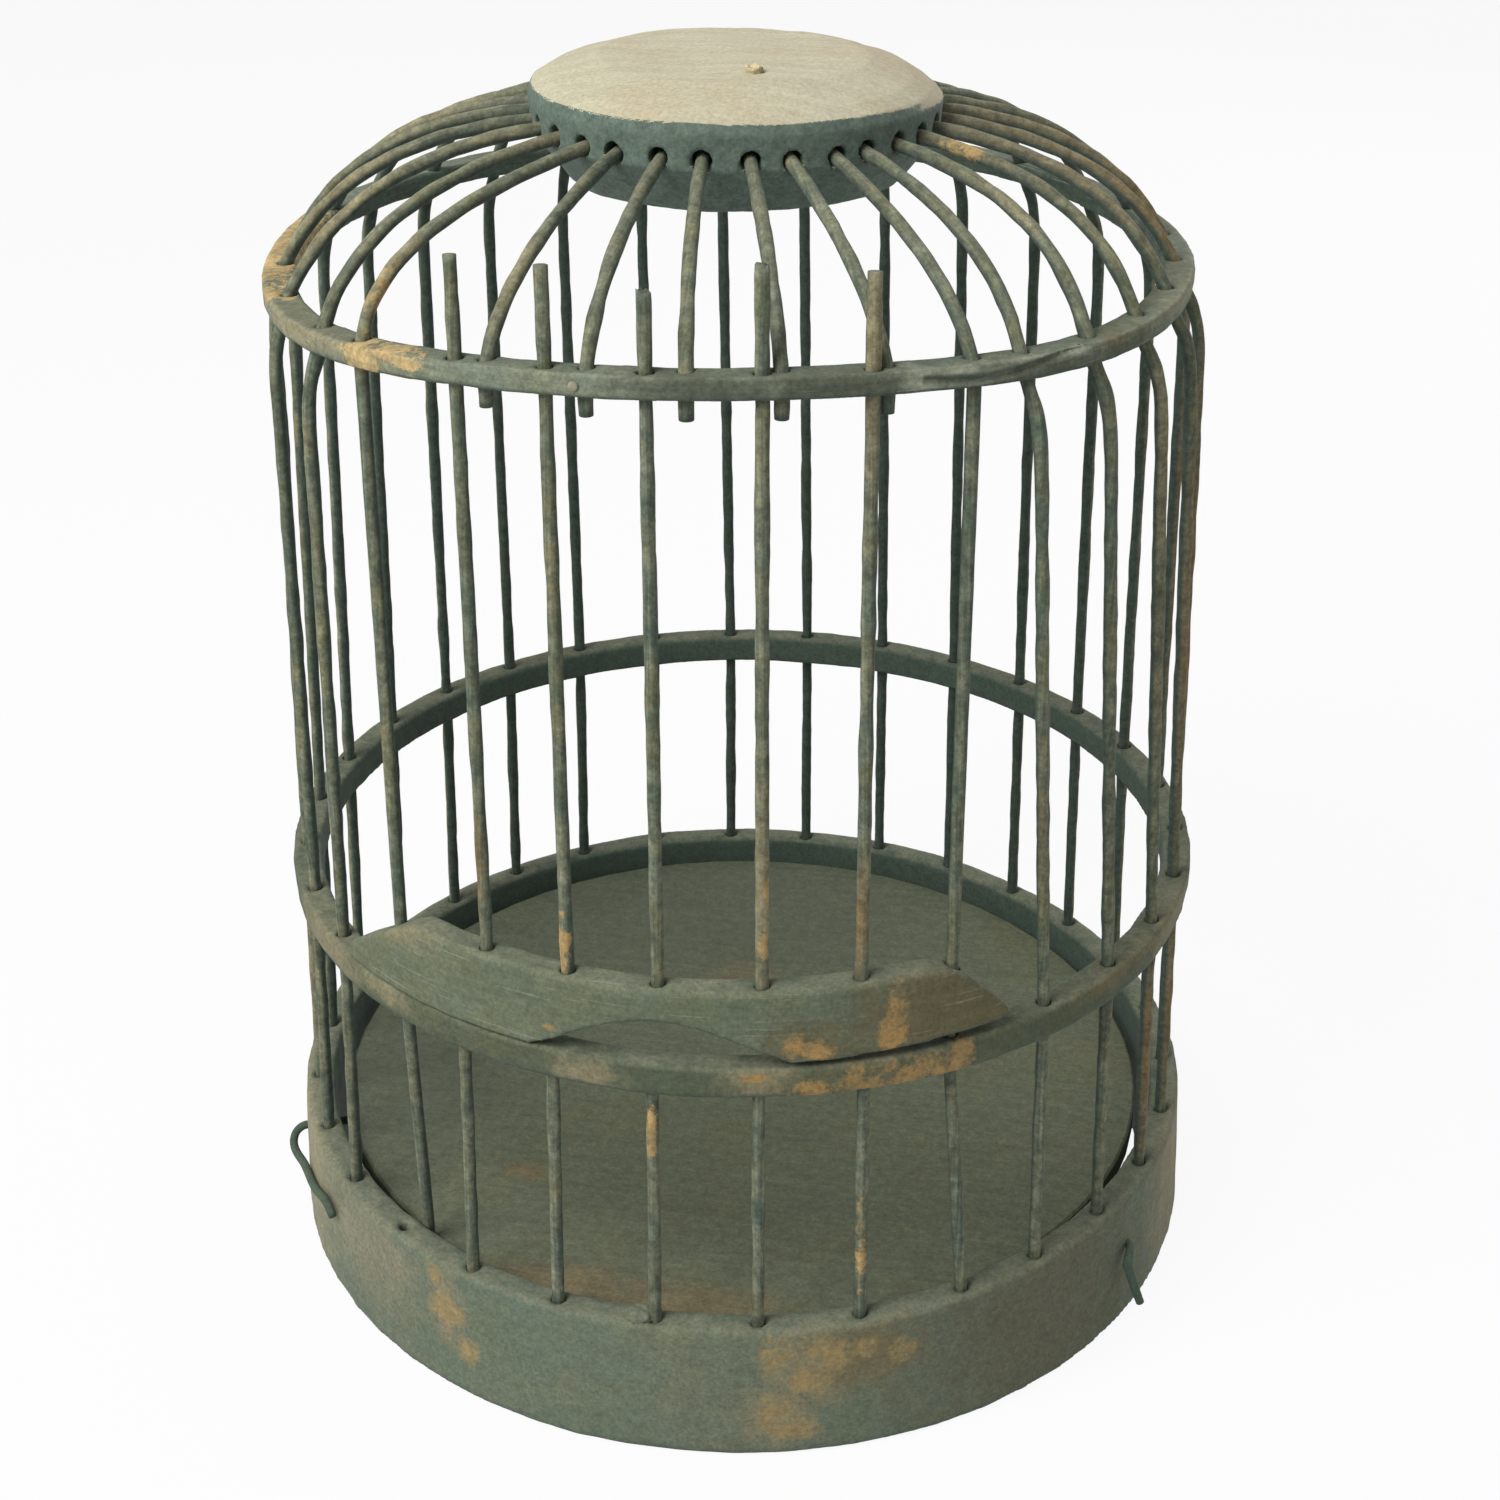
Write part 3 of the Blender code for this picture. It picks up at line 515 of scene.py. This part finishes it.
floor_board = taken_from("floor_board", "floor_panel")
bpy.ops.object.shade_smooth_by_angle(angle=math.radians(SHARP_EDGE))
floor_paint = cage_paint(
    "floor_paint", along_the_board, (), FLOOR_TINTS, FLOOR_COAT, FLOOR_DUST, FLOOR_COAT,
    streaks=0.1, flakes=-0.1, top_dust_and_highlight=0, aged=0.7, mottle=0.16,
)
dressed(floor_board, floor_paint, "floor", "floor_wood", "floor_board")

# Three bent wire pins go through the base ring and carry the floor.
# They are steel wire, painted over with the cage.
WIRE_COAT = (0.044, 0.074, 0.050)
WIRE_RUST = (0.120, 0.085, 0.050)
CUT_ANGLE = 55
WIRE_SWELL = 0.00032
FIBRES_ACROSS = 170
FIBRES_DOWN = 28


def crisp_ends(piece):
    """Creases the rims of the cut ends, so that rounding the bar leaves them flat."""
    bpy.ops.object.mode_set(mode="EDIT")
    bpy.ops.mesh.select_all(action="DESELECT")
    bpy.ops.mesh.select_mode(type="EDGE")
    bpy.ops.mesh.edges_select_sharp(sharpness=math.radians(CUT_ANGLE))
    bpy.ops.transform.edge_crease(value=1)
    bpy.ops.object.mode_set(mode="OBJECT")


def rounded_off(piece, levels, thicker):
    """A faceted bar made round, and as much thicker as rounding thinned it."""
    crisp_ends(piece)
    round_off = piece.modifiers.new("Roundness", "SUBSURF")
    round_off.levels = levels
    round_off.render_levels = levels
    swell = piece.modifiers.new("Swell", "DISPLACE")
    swell.strength = thicker
    swell.mid_level = 0


def down_the_bar(tree, place):
    """Fibres that follow a bar from the cap over the dome and down: each bar keeps to its own bearing."""
    flat, out = flattened(tree, place)
    across_bar = step(tree, "VectorMath", ((0, out), ("Scale", FIBRES_ACROSS)), operation="SCALE")
    reach = length_of(step(tree, "VectorMath", ((0, flat),), operation="LENGTH"))
    height = apart(tree, place)[2]
    drop = reckon(tree, "MULTIPLY", reckon(tree, "SUBTRACT", height, reach), FIBRES_DOWN)
    return step(tree, "VectorMath", ((0, across_bar), (1, step(tree, "CombineXYZ", ((2, drop),)))))


wire_paint = cage_paint(
    "wire_paint", down_the_bar, (), (), WIRE_COAT, WIRE_COAT, WIRE_COAT, WIRE_RUST, top_dust_and_highlight=0.2, aged=0.1,
)
for pin in ("pin_right", "pin_left", "pin_back"):
    wire = taken_from(pin, pin + "_wire")
    rounded_off(wire, 2, WIRE_SWELL)
    applied(wire)
    bpy.ops.object.shade_smooth()
    dressed(wire, wire_paint, pin, "painted_wire", pin)

# The bars are split bamboo, shaved round by hand, so no two are quite straight or even.
# Their paint is brownish outside and dark green inside, where the dark green is partly paint that has
# faded less and partly painted shade. They are painted darker underneath as shade, lighter on top with dust
# and a painted highlight, and rubbed through to orange and tan fibre in spots.
LONGEST_STRETCH = 0.007
HALVINGS = 5
BAR_SWELL = 0.00017
BAR_WAVE = 0.0009
BAR_WAVE_LENGTH = 0.013
GUIDES = ("rib_01", "rib_25")
GUIDE_WAVE = 0.0003
BAR_COAT = (0.064, 0.090, 0.064)
BAR_DUST = (0.182, 0.190, 0.126)
# The bars' inside coat: less faded paint, and painted shade inside and underneath.
BAR_UNFADED_AND_SHADE = (0.042, 0.062, 0.046)
BAR_WOOD = (0.450, 0.300, 0.115)
BAR_RUST = (0.185, 0.125, 0.052)
# Tan paint on the dome ribs, made light enough to stand in for a painted highlight on them.
BAR_TAN_AND_HIGHLIGHT = (0.300, 0.258, 0.142)
# The settled share here is dust together with a painted highlight on the tops of the bars.
BAR_WEAR_AND_HIGHLIGHT = {"dust": 0.9, "streaks": 0.14, "cloud": 110, "top_dust_and_highlight": 0.9, "aged": 0.6, "mottle": 0.32}
BAR_BARE = (
    ((-0.0800, -0.1060, 0.3500), (0.010, 0.010, 0.018)),
    ((0.0625, -0.1425, 0.0790), (0.005, 0.005, 0.034)),
    ((0.0000, -0.1536, 0.1186), (0.005, 0.005, 0.016)),
    ((0.0700, -0.0280, 0.3830), (0.013, 0.007, 0.007)),
    ((0.1510, 0.0000, 0.2700), (0.005, 0.005, 0.030)),
    ((0.1150, -0.0970, 0.0950), (0.005, 0.005, 0.030)),
)
BAR_TINTS = (
    # Tan on the dome ribs, which is also their painted highlight.
    (BAR_TAN_AND_HIGHLIGHT, (
        ((-0.0800, -0.1000, 0.3600), (0.018, 0.026, 0.034)),
        ((-0.0550, -0.0450, 0.3830), (0.040, 0.024, 0.014)),
        ((-0.1100, -0.0500, 0.3650), (0.044, 0.050, 0.026)),
        ((-0.1000, 0.0200, 0.3700), (0.040, 0.050, 0.026)),
        ((-0.0440, -0.1100, 0.3650), (0.012, 0.030, 0.020)),
        ((0.0800, -0.0600, 0.3700), (0.022, 0.020, 0.022)),
        ((0.0900, 0.0000, 0.3790), (0.036, 0.010, 0.005)),
        ((0.0850, 0.0180, 0.3810), (0.026, 0.008, 0.004)),
    )),
    (TAN_COAT, (
        ((0.0900, 0.0000, 0.3750), (0.060, 0.040, 0.030)),
        ((0.1338, -0.0595, 0.2978), (0.010, 0.010, 0.050)),
        ((0.1450, -0.0300, 0.2400), (0.020, 0.060, 0.060)),
        ((0.1350, 0.0500, 0.3200), (0.050, 0.060, 0.070)),
        ((-0.1250, -0.0500, 0.3650), (0.030, 0.040, 0.020)),
        ((-0.1420, -0.0600, 0.0900), (0.020, 0.030, 0.050)),
    )),
    (BAR_RUST, (
        ((-0.0250, -0.1180, 0.3650), (0.008, 0.020, 0.020)),
        ((0.0900, 0.0000, 0.3750), (0.100, 0.060, 0.040)),
        ((0.1250, 0.0200, 0.3600), (0.040, 0.060, 0.030)),
        ((0.1480, 0.0100, 0.2400), (0.024, 0.070, 0.110)),
        ((0.1040, -0.1120, 0.2000), (0.012, 0.012, 0.060)),
        ((0.1500, -0.0400, 0.0900), (0.030, 0.060, 0.050)),
    )),
)


def shaved(piece, wave=BAR_WAVE):
    """Cuts a bar into short lengths, then makes it round and a little uneven."""
    bpy.ops.object.mode_set(mode="EDIT")
    for _ in range(HALVINGS):
        bpy.ops.mesh.select_all(action="DESELECT")
        skin = bmesh.from_edit_mesh(piece.data)
        for edge in skin.edges:
            edge.select_set(edge.calc_length() > LONGEST_STRETCH)
        bmesh.update_edit_mesh(piece.data)
        bpy.ops.mesh.subdivide(number_cuts=1)
    bpy.ops.object.mode_set(mode="OBJECT")
    rounded_off(piece, 1, BAR_SWELL)
    uneven(piece, wave, BAR_WAVE_LENGTH)
    applied(piece)
    bpy.ops.object.shade_smooth()


bar_paint = cage_paint(
    "bar_paint", down_the_bar, BAR_BARE, BAR_TINTS, BAR_COAT, BAR_DUST, BAR_UNFADED_AND_SHADE, BAR_WOOD, flakes=0.04,
    **BAR_WEAR_AND_HIGHLIGHT,
)
for node in sorted(frame["nodes"]):
    if node.startswith(("rib_", "short_rib_", "lower_bar_")):
        bar = taken_from(node, node + "_shaved")
        shaved(bar, GUIDE_WAVE if node in GUIDES else BAR_WAVE)
        dressed(bar, bar_paint, "frame", "painted_bamboo", node)

# The middle hoop is a flat strip of wood, bored for every long bar.
# Its paint is rubbed down to ochre wood along the front, under the door.
HOOP_GRAIN = 0.0009
HOOP_SMOOTHING = 3
HOOP_WAVE = 0.0007
HOOP_WAVE_LENGTH = 0.02
WAIST_COAT = (0.056, 0.076, 0.043)
WAIST_DUST = (0.098, 0.110, 0.064)
WAIST_WOOD = (0.335, 0.212, 0.072)
MID_BARE = (
    ((0.0880, -0.1275, 0.1365), (0.011, 0.011, 0.014)),
    ((0.0740, -0.1355, 0.1360), (0.012, 0.012, 0.010)),
    ((0.0610, -0.1420, 0.1350), (0.012, 0.012, 0.010)),
    ((0.0470, -0.1470, 0.1345), (0.009, 0.009, 0.006)),
    ((0.0320, -0.1508, 0.1405), (0.008, 0.006, 0.002)),
)
MID_TINTS = (
    (TAN_COAT, (
        ((-0.0194, -0.1530, 0.1370), (0.016, 0.016, 0.008)),
        ((-0.0900, -0.1250, 0.1400), (0.020, 0.020, 0.006)),
        ((0.0320, -0.1510, 0.1400), (0.016, 0.012, 0.010)),
        ((-0.1180, -0.0980, 0.1380), (0.034, 0.036, 0.016)),
        ((0.1500, -0.0400, 0.1380), (0.020, 0.040, 0.020)),
    )),
    (BROWN_COAT, (
        ((0.0700, -0.1380, 0.1330), (0.044, 0.040, 0.014)),
        ((0.1330, -0.0750, 0.1450), (0.030, 0.040, 0.010)),
        ((-0.1100, 0.1050, 0.1380), (0.040, 0.040, 0.016)),
    )),
)
mid_hoop = taken_from("mid_hoop", "waist_hoop")
rubbed_down(mid_hoop, HOOP_GRAIN, HOOP_SMOOTHING, HOOP_WAVE, HOOP_WAVE_LENGTH)
waist_paint = cage_paint(
    "waist_paint", round_the_hoop, MID_BARE, MID_TINTS, WAIST_COAT, WAIST_DUST, wood=WAIST_WOOD,
    streaks=0.06, edge=0.4,
)
dressed(mid_hoop, waist_paint, "frame", "painted_wood", "mid_hoop")

# The top hoop is a thin strip, bent and nailed by hand, and out of true.
# A long stretch at the left has lost its paint, and the wood there is pale ochre.
# Along the front and right of the hoop, the dark patches are painted shade.
PALE_COAT = (0.165, 0.198, 0.148)
PALE_TAN = (0.240, 0.212, 0.122)
PALE_WOOD = (0.510, 0.370, 0.165)
HOOP_SHADE = (0.066, 0.078, 0.050)
TOP_BARE = (
    ((-0.1380, -0.0300, 0.3440), (0.026, 0.060, 0.020)),
    ((-0.1280, -0.0700, 0.3450), (0.014, 0.024, 0.008)),
    ((-0.0830, -0.1170, 0.3395), (0.014, 0.013, 0.010)),
    ((-0.0720, -0.1240, 0.3430), (0.018, 0.012, 0.004)),
)
TOP_TINTS = (
    (PALE_TAN, (
        ((-0.1350, -0.0500, 0.3440), (0.030, 0.060, 0.016)),
        ((-0.1080, -0.0920, 0.3430), (0.040, 0.040, 0.014)),
        ((-0.0850, -0.1160, 0.3440), (0.030, 0.020, 0.010)),
        ((0.1300, -0.0300, 0.3500), (0.030, 0.050, 0.010)),
    )),
    # Painted shade along the front and right of the hoop.
    (HOOP_SHADE, (
        ((0.0150, -0.1400, 0.3430), (0.030, 0.012, 0.014)),
        ((0.0450, -0.1340, 0.3430), (0.030, 0.012, 0.014)),
        ((0.0560, -0.1300, 0.3430), (0.016, 0.012, 0.014)),
        ((0.1020, -0.0980, 0.3400), (0.022, 0.022, 0.006)),
        ((0.1190, -0.0750, 0.3400), (0.030, 0.030, 0.007)),
    )),
    (PALE_SCRATCH, (
        ((0.0700, -0.1250, 0.3440), (0.007, 0.007, 0.005)),
        ((0.0800, -0.1190, 0.3455), (0.008, 0.008, 0.002)),
        ((0.0900, -0.1120, 0.3440), (0.007, 0.007, 0.002)),
        ((0.0980, -0.1050, 0.3460), (0.009, 0.009, 0.002)),
        ((0.1090, -0.0930, 0.3450), (0.007, 0.007, 0.002)),
    )),
    (BROWN_COAT, (
        ((0.1160, -0.0760, 0.3480), (0.016, 0.016, 0.008)),
        ((-0.0900, 0.1050, 0.3420), (0.050, 0.050, 0.020)),
    )),
)
HOOP_FINE_GRAIN = 0.0007
NAIL_PLACE = Vector((-0.0188, -0.1412, 0.3438))
NAIL_RADIUS = 0.0014
NAIL_SHAPE = (1, 0.35, 1)
NAIL_DENTS = 0.0005
NAIL_DENT_LENGTH = 0.0015
NAIL_METAL = (0.330, 0.310, 0.220)
CRACK = ((30.0, 0.3440), (36.0, 0.3425), (41.0, 0.3432), (46.0, 0.3445), (52.0, 0.3462))
CRACK_WIDTH = 0.0014
CRACK_DEPTH = 0.0017
CRACK_PARTS = 12
OUTER_FACE = 0.3


def cracked(piece, crack, width, depth):
    """Presses a crack into the outer face: its rows are bearings from the front, in degrees, and heights."""
    path = []
    for start, end in zip(crack, crack[1:]):
        for part in range(CRACK_PARTS):
            path.append(Vector(start).lerp(Vector(end), part / CRACK_PARTS))
    for vertex in piece.data.vertices:
        spot = vertex.co
        bearing = math.degrees(math.atan2(spot.x, -spot.y))
        away = min(
            math.hypot(math.radians(bearing - point.x) * spot.xy.length, spot.z - point.y) for point in path
        )
        out = Vector((spot.x, spot.y, 0)).normalized()
        if away < width and vertex.normal.dot(out) > OUTER_FACE:
            spot -= out * depth * (1 - away / width)


top_hoop = taken_from("top_hoop", "shoulder_hoop")
rubbed_down(top_hoop, HOOP_FINE_GRAIN, HOOP_SMOOTHING, HOOP_WAVE, HOOP_WAVE_LENGTH)
cracked(top_hoop, CRACK, CRACK_WIDTH, CRACK_DEPTH)
shoulder_paint = cage_paint(
    "shoulder_paint", round_the_hoop, TOP_BARE, TOP_TINTS, PALE_COAT, wood=PALE_WOOD, flakes=0.01,
    streaks=0.22, edge=0.12, scratches=0.5, top_dust_and_highlight=0.35, mottle=0.2,
)
dressed(top_hoop, shoulder_paint, "frame", "painted_wood", "top_hoop")

bpy.ops.object.select_all(action="DESELECT")
bpy.ops.mesh.primitive_uv_sphere_add(segments=20, ring_count=12, radius=NAIL_RADIUS, location=NAIL_PLACE)
nail = bpy.context.active_object
nail.name = "hoop_nail"
bpy.ops.object.mode_set(mode="EDIT")
bpy.ops.transform.resize(value=NAIL_SHAPE)
bpy.ops.object.mode_set(mode="OBJECT")
bpy.ops.object.transform_apply(location=True, rotation=True, scale=True)
uneven(nail, NAIL_DENTS, NAIL_DENT_LENGTH)
applied(nail)
bpy.ops.object.shade_smooth()
nail_metal = cage_paint("nail_metal", down_the_bar, (), (), NAIL_METAL, DUSTY_COAT, NAIL_METAL, aged=0.1)
nail.data.materials.append(nail_metal)
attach(nail, "frame")

# The cap is a block of pale wood, carved round by hand and left bare on top.
# Its rim is painted, and each rib goes into an oversize hole in it.
CAP_GRAIN = 0.0008
RIB_END = 0.002
RIM_OUT = 0.066
RIB_NECK = 0.014
BORE_RADIUS = 0.0031
BORE_LENGTH = 0.024
BORE_LIFT = 0.0009
CAP_SMOOTHING = 2
CAP_TURN = -0.35
CAP_GRAIN_SCALE = (14, 200, 60)
CAP_CLOUD_SCALE = 26
CAP_EDGE_SCALE = 160
CAP_EDGE_SPAN = (0.60, 0.66)
DRILL_SIDES = 14
CAP_WAVE = 0.0016
CAP_WAVE_LENGTH = 0.022
PEG_GRAIN = 0.00035
PEG_WAVE = 0.0018
PEG_WAVE_LENGTH = 0.0026
PEG_BREAK = 0.0011
PEG_TEARS = 1700
PEG_SPLINTER = 0.0003
PEG_SEED = 7
CAP_WOOD = (0.540, 0.510, 0.365)
CAP_WOOD_DARK = (0.400, 0.360, 0.245)
CAP_WOOD_TAN = (0.470, 0.385, 0.250)
CAP_SHADE = (0.270, 0.225, 0.130)
CAP_STAINS = (
    ((0.0450, 0.0250, 0.3950), (0.030, 0.040, 0.020)),
    ((-0.0100, 0.0550, 0.3950), (0.050, 0.020, 0.020)),
)
CAP_SCAR = (
    ((-0.0010, -0.0276, 0.3970), (0.0085, 0.0022, 0.0060)),
)
CAP_COAT = (0.098, 0.136, 0.108)


def across_the_cap(tree, place):
    feeds = (("Vector", place), ("Rotation", (0, 0, CAP_TURN)), ("Scale", CAP_GRAIN_SCALE))
    return step(tree, "Mapping", feeds)


def bore_for_ribs(block):
    """Cuts a wide hole in the rim for each rib, which leaves a dark gap over it."""
    drills = []
    for node, rib in frame["nodes"].items():
        if not node.startswith(("rib_", "short_rib_")):
            continue
        spots = [vertex.co for vertex in rib.data.vertices]
        inner = min(spot.xy.length for spot in spots)
        ends = [spot for spot in spots if spot.xy.length < inner + RIB_END]
        necks = [spot for spot in spots if RIM_OUT < spot.xy.length < RIM_OUT + RIB_NECK]
        if not necks:
            continue
        end = sum(ends, Vector()) / len(ends)
        neck = sum(necks, Vector()) / len(necks)
        run = (neck - end).normalized()
        bpy.ops.mesh.primitive_cylinder_add(
            vertices=DRILL_SIDES,
            radius=BORE_RADIUS,
            depth=BORE_LENGTH,
            location=end + run * BORE_LENGTH / 2 + Vector((0, 0, BORE_LIFT)),
            rotation=run.to_track_quat("Z", "Y").to_euler(),
        )
        drills.append(bpy.context.active_object)
    for drill in drills:
        cut = block.modifiers.new("Bore", "BOOLEAN")
        cut.object = drill
    applied(block)
    for drill in drills:
        bpy.data.objects.remove(drill)


def carved_block_finish():
    material = cage_paint(
        "cap_finish", across_the_cap, (), (), CAP_COAT, CAP_COAT, CAP_COAT, streaks=0.02, flakes=-0.1,
        top_dust_and_highlight=0.1, aged=0.1, mottle=0.2,
    )
    tree = material.node_tree
    shader = tree.nodes["Principled BSDF"]
    painted = shader.inputs["Base Color"].links[0].from_socket
    place = step(tree, "TexCoord").node.outputs["Object"]
    fibres = cloudy(tree, across_the_cap(tree, place), 1, 5, 0.7)
    wood = blended(tree, ramped(tree, fibres, 0.22, 0.66, 0.15, 1), CAP_WOOD_DARK, CAP_WOOD)
    wood = blended(tree, ramped(tree, near_places(tree, place, CAP_STAINS), 0, 0.8, 0, 0.75), wood, CAP_WOOD_TAN)
    wood = blended(tree, ramped(tree, near_places(tree, place, CAP_SCAR), 0.1, 0.6, 0, 0.8), wood, CAP_SHADE)
    tan_clouds = ramped(tree, cloudy(tree, place, CAP_CLOUD_SCALE), 0.46, 0.66, 0, 0.55)
    wood = blended(tree, tan_clouds, wood, CAP_WOOD_TAN)
    wood = toned(tree, wood, ramped(tree, cloudy(tree, place, TOOTH_SCALE, 4, 0.75), *TOOTH_SPAN, 0.80, 1.18))
    up = facing_out(tree, place)[1]
    ragged = ramped(tree, cloudy(tree, place, CAP_EDGE_SCALE), *NOISE_SPAN, -0.05, 0.05)
    above = ramped(tree, reckon(tree, "ADD", up, ragged), *CAP_EDGE_SPAN)
    tree.links.new(blended(tree, above, painted, wood), shader.inputs["Base Color"])
    return material


cap_finish = carved_block_finish()
cap = taken_from("cap", "carved_cap")
bore_for_ribs(cap)
rubbed_down(cap, CAP_GRAIN, CAP_SMOOTHING, CAP_WAVE, CAP_WAVE_LENGTH)
dressed(cap, cap_finish, "frame", "bare_wood", "cap")

peg = taken_from("hanger_peg", "broken_peg")
rubbed_down(peg, PEG_GRAIN, 1, PEG_WAVE, PEG_WAVE_LENGTH)
splinters = random.Random(PEG_SEED)
peg_top = max(vertex.co.z for vertex in peg.data.vertices)
peg_middle = sum((vertex.co for vertex in peg.data.vertices), Vector()) / len(peg.data.vertices)
for vertex in peg.data.vertices:
    if vertex.co.z > peg_top - PEG_BREAK:
        torn = 0.5 + 0.5 * math.sin((vertex.co.x - peg_middle.x) * PEG_TEARS + vertex.co.y * PEG_TEARS / 2)
        vertex.co.z -= PEG_BREAK * torn + splinters.uniform(0, PEG_SPLINTER)
peg_wood = cage_paint(
    "peg_wood", down_the_bar, (), (), CAP_WOOD, CAP_WOOD_DARK, CAP_WOOD, top_dust_and_highlight=0, aged=0.6,
)
dressed(peg, peg_wood, "frame", "bare_wood", "hanger_peg")

# The door is a curved wooden board, sawn with a finger notch under it and sloped ends.
# It carries five bars, which slide through the top hoop as it is lifted.
BOARD_GRAIN = 0.0008
BOARD_SMOOTHING = 2
BOARD_WAVE = 0.0003
BOARD_COAT = (0.096, 0.122, 0.076)
BOARD_DUST = (0.160, 0.176, 0.112)
BOARD_BROWN = (0.108, 0.092, 0.042)
BOARD_WOOD = (0.370, 0.225, 0.075)
BOARD_BARE = (
    ((0.0705, -0.1365, 0.1600), (0.005, 0.005, 0.018)),
    ((0.0675, -0.1380, 0.1510), (0.006, 0.006, 0.008)),
    ((0.0410, -0.1475, 0.1510), (0.005, 0.005, 0.006)),
    ((0.0480, -0.1455, 0.1490), (0.008, 0.008, 0.005)),
    ((-0.0307, -0.1507, 0.1509), (0.006, 0.006, 0.002)),
)
BOARD_TINTS = (
    (BOARD_BROWN, (
        ((0.0800, -0.1300, 0.1560), (0.040, 0.040, 0.040)),
        ((0.1000, -0.1150, 0.1560), (0.034, 0.034, 0.034)),
        ((0.0460, -0.1460, 0.1500), (0.020, 0.020, 0.012)),
    )),
    (TAN_COAT, (
        ((-0.0840, -0.1280, 0.1690), (0.024, 0.022, 0.012)),
    )),
)
door_board = taken_from("door_board", "door_rail")
rubbed_down(door_board, BOARD_GRAIN, BOARD_SMOOTHING, BOARD_WAVE, HOOP_WAVE_LENGTH)
board_paint = cage_paint(
    "board_paint", round_the_hoop, BOARD_BARE, BOARD_TINTS, BOARD_COAT, BOARD_DUST, wood=BOARD_WOOD,
    edge=0.45, scratches=0.45,
)
dressed(door_board, board_paint, "door", "painted_wood", "door_board")

DOOR_BAR_BARE = (
    ((-0.0270, -0.1480, 0.1790), (0.005, 0.005, 0.015)),
    ((0.0325, -0.1452, 0.1830), (0.0026, 0.0026, 0.009)),
    ((0.0338, -0.1440, 0.2000), (0.0026, 0.0030, 0.014)),
)
DOOR_BAR_TINTS = (
    (BAR_RUST, (
        ((-0.0550, -0.1370, 0.1900), (0.006, 0.006, 0.030)),
        ((0.0580, -0.1370, 0.1880), (0.0034, 0.0040, 0.030)),
    )),
    (TAN_COAT, (
        ((0.0580, -0.1260, 0.3500), (0.012, 0.020, 0.040)),
        ((0.0330, -0.1440, 0.1950), (0.008, 0.008, 0.040)),
    )),
)
door_bar_paint = cage_paint(
    "door_bar_paint", down_the_bar, DOOR_BAR_BARE, DOOR_BAR_TINTS, BAR_COAT, BAR_DUST, BAR_UNFADED_AND_SHADE, BAR_WOOD,
    flakes=0.03, **BAR_WEAR_AND_HIGHLIGHT,
)
BROKEN_BARS = (3, 4)
BREAK_DEPTH = 0.0022
for number in range(1, 6):
    node = f"door_bar_{number}"
    bar = taken_from(node, node + "_shaved")
    shaved(bar)
    if number in BROKEN_BARS:
        splinters = random.Random(number)
        top = max(vertex.co.z for vertex in bar.data.vertices)
        for vertex in bar.data.vertices:
            if vertex.co.z > top - BREAK_DEPTH / 2:
                vertex.co.z -= splinters.uniform(0, BREAK_DEPTH)
    dressed(bar, door_bar_paint, "door", "painted_bamboo", node)
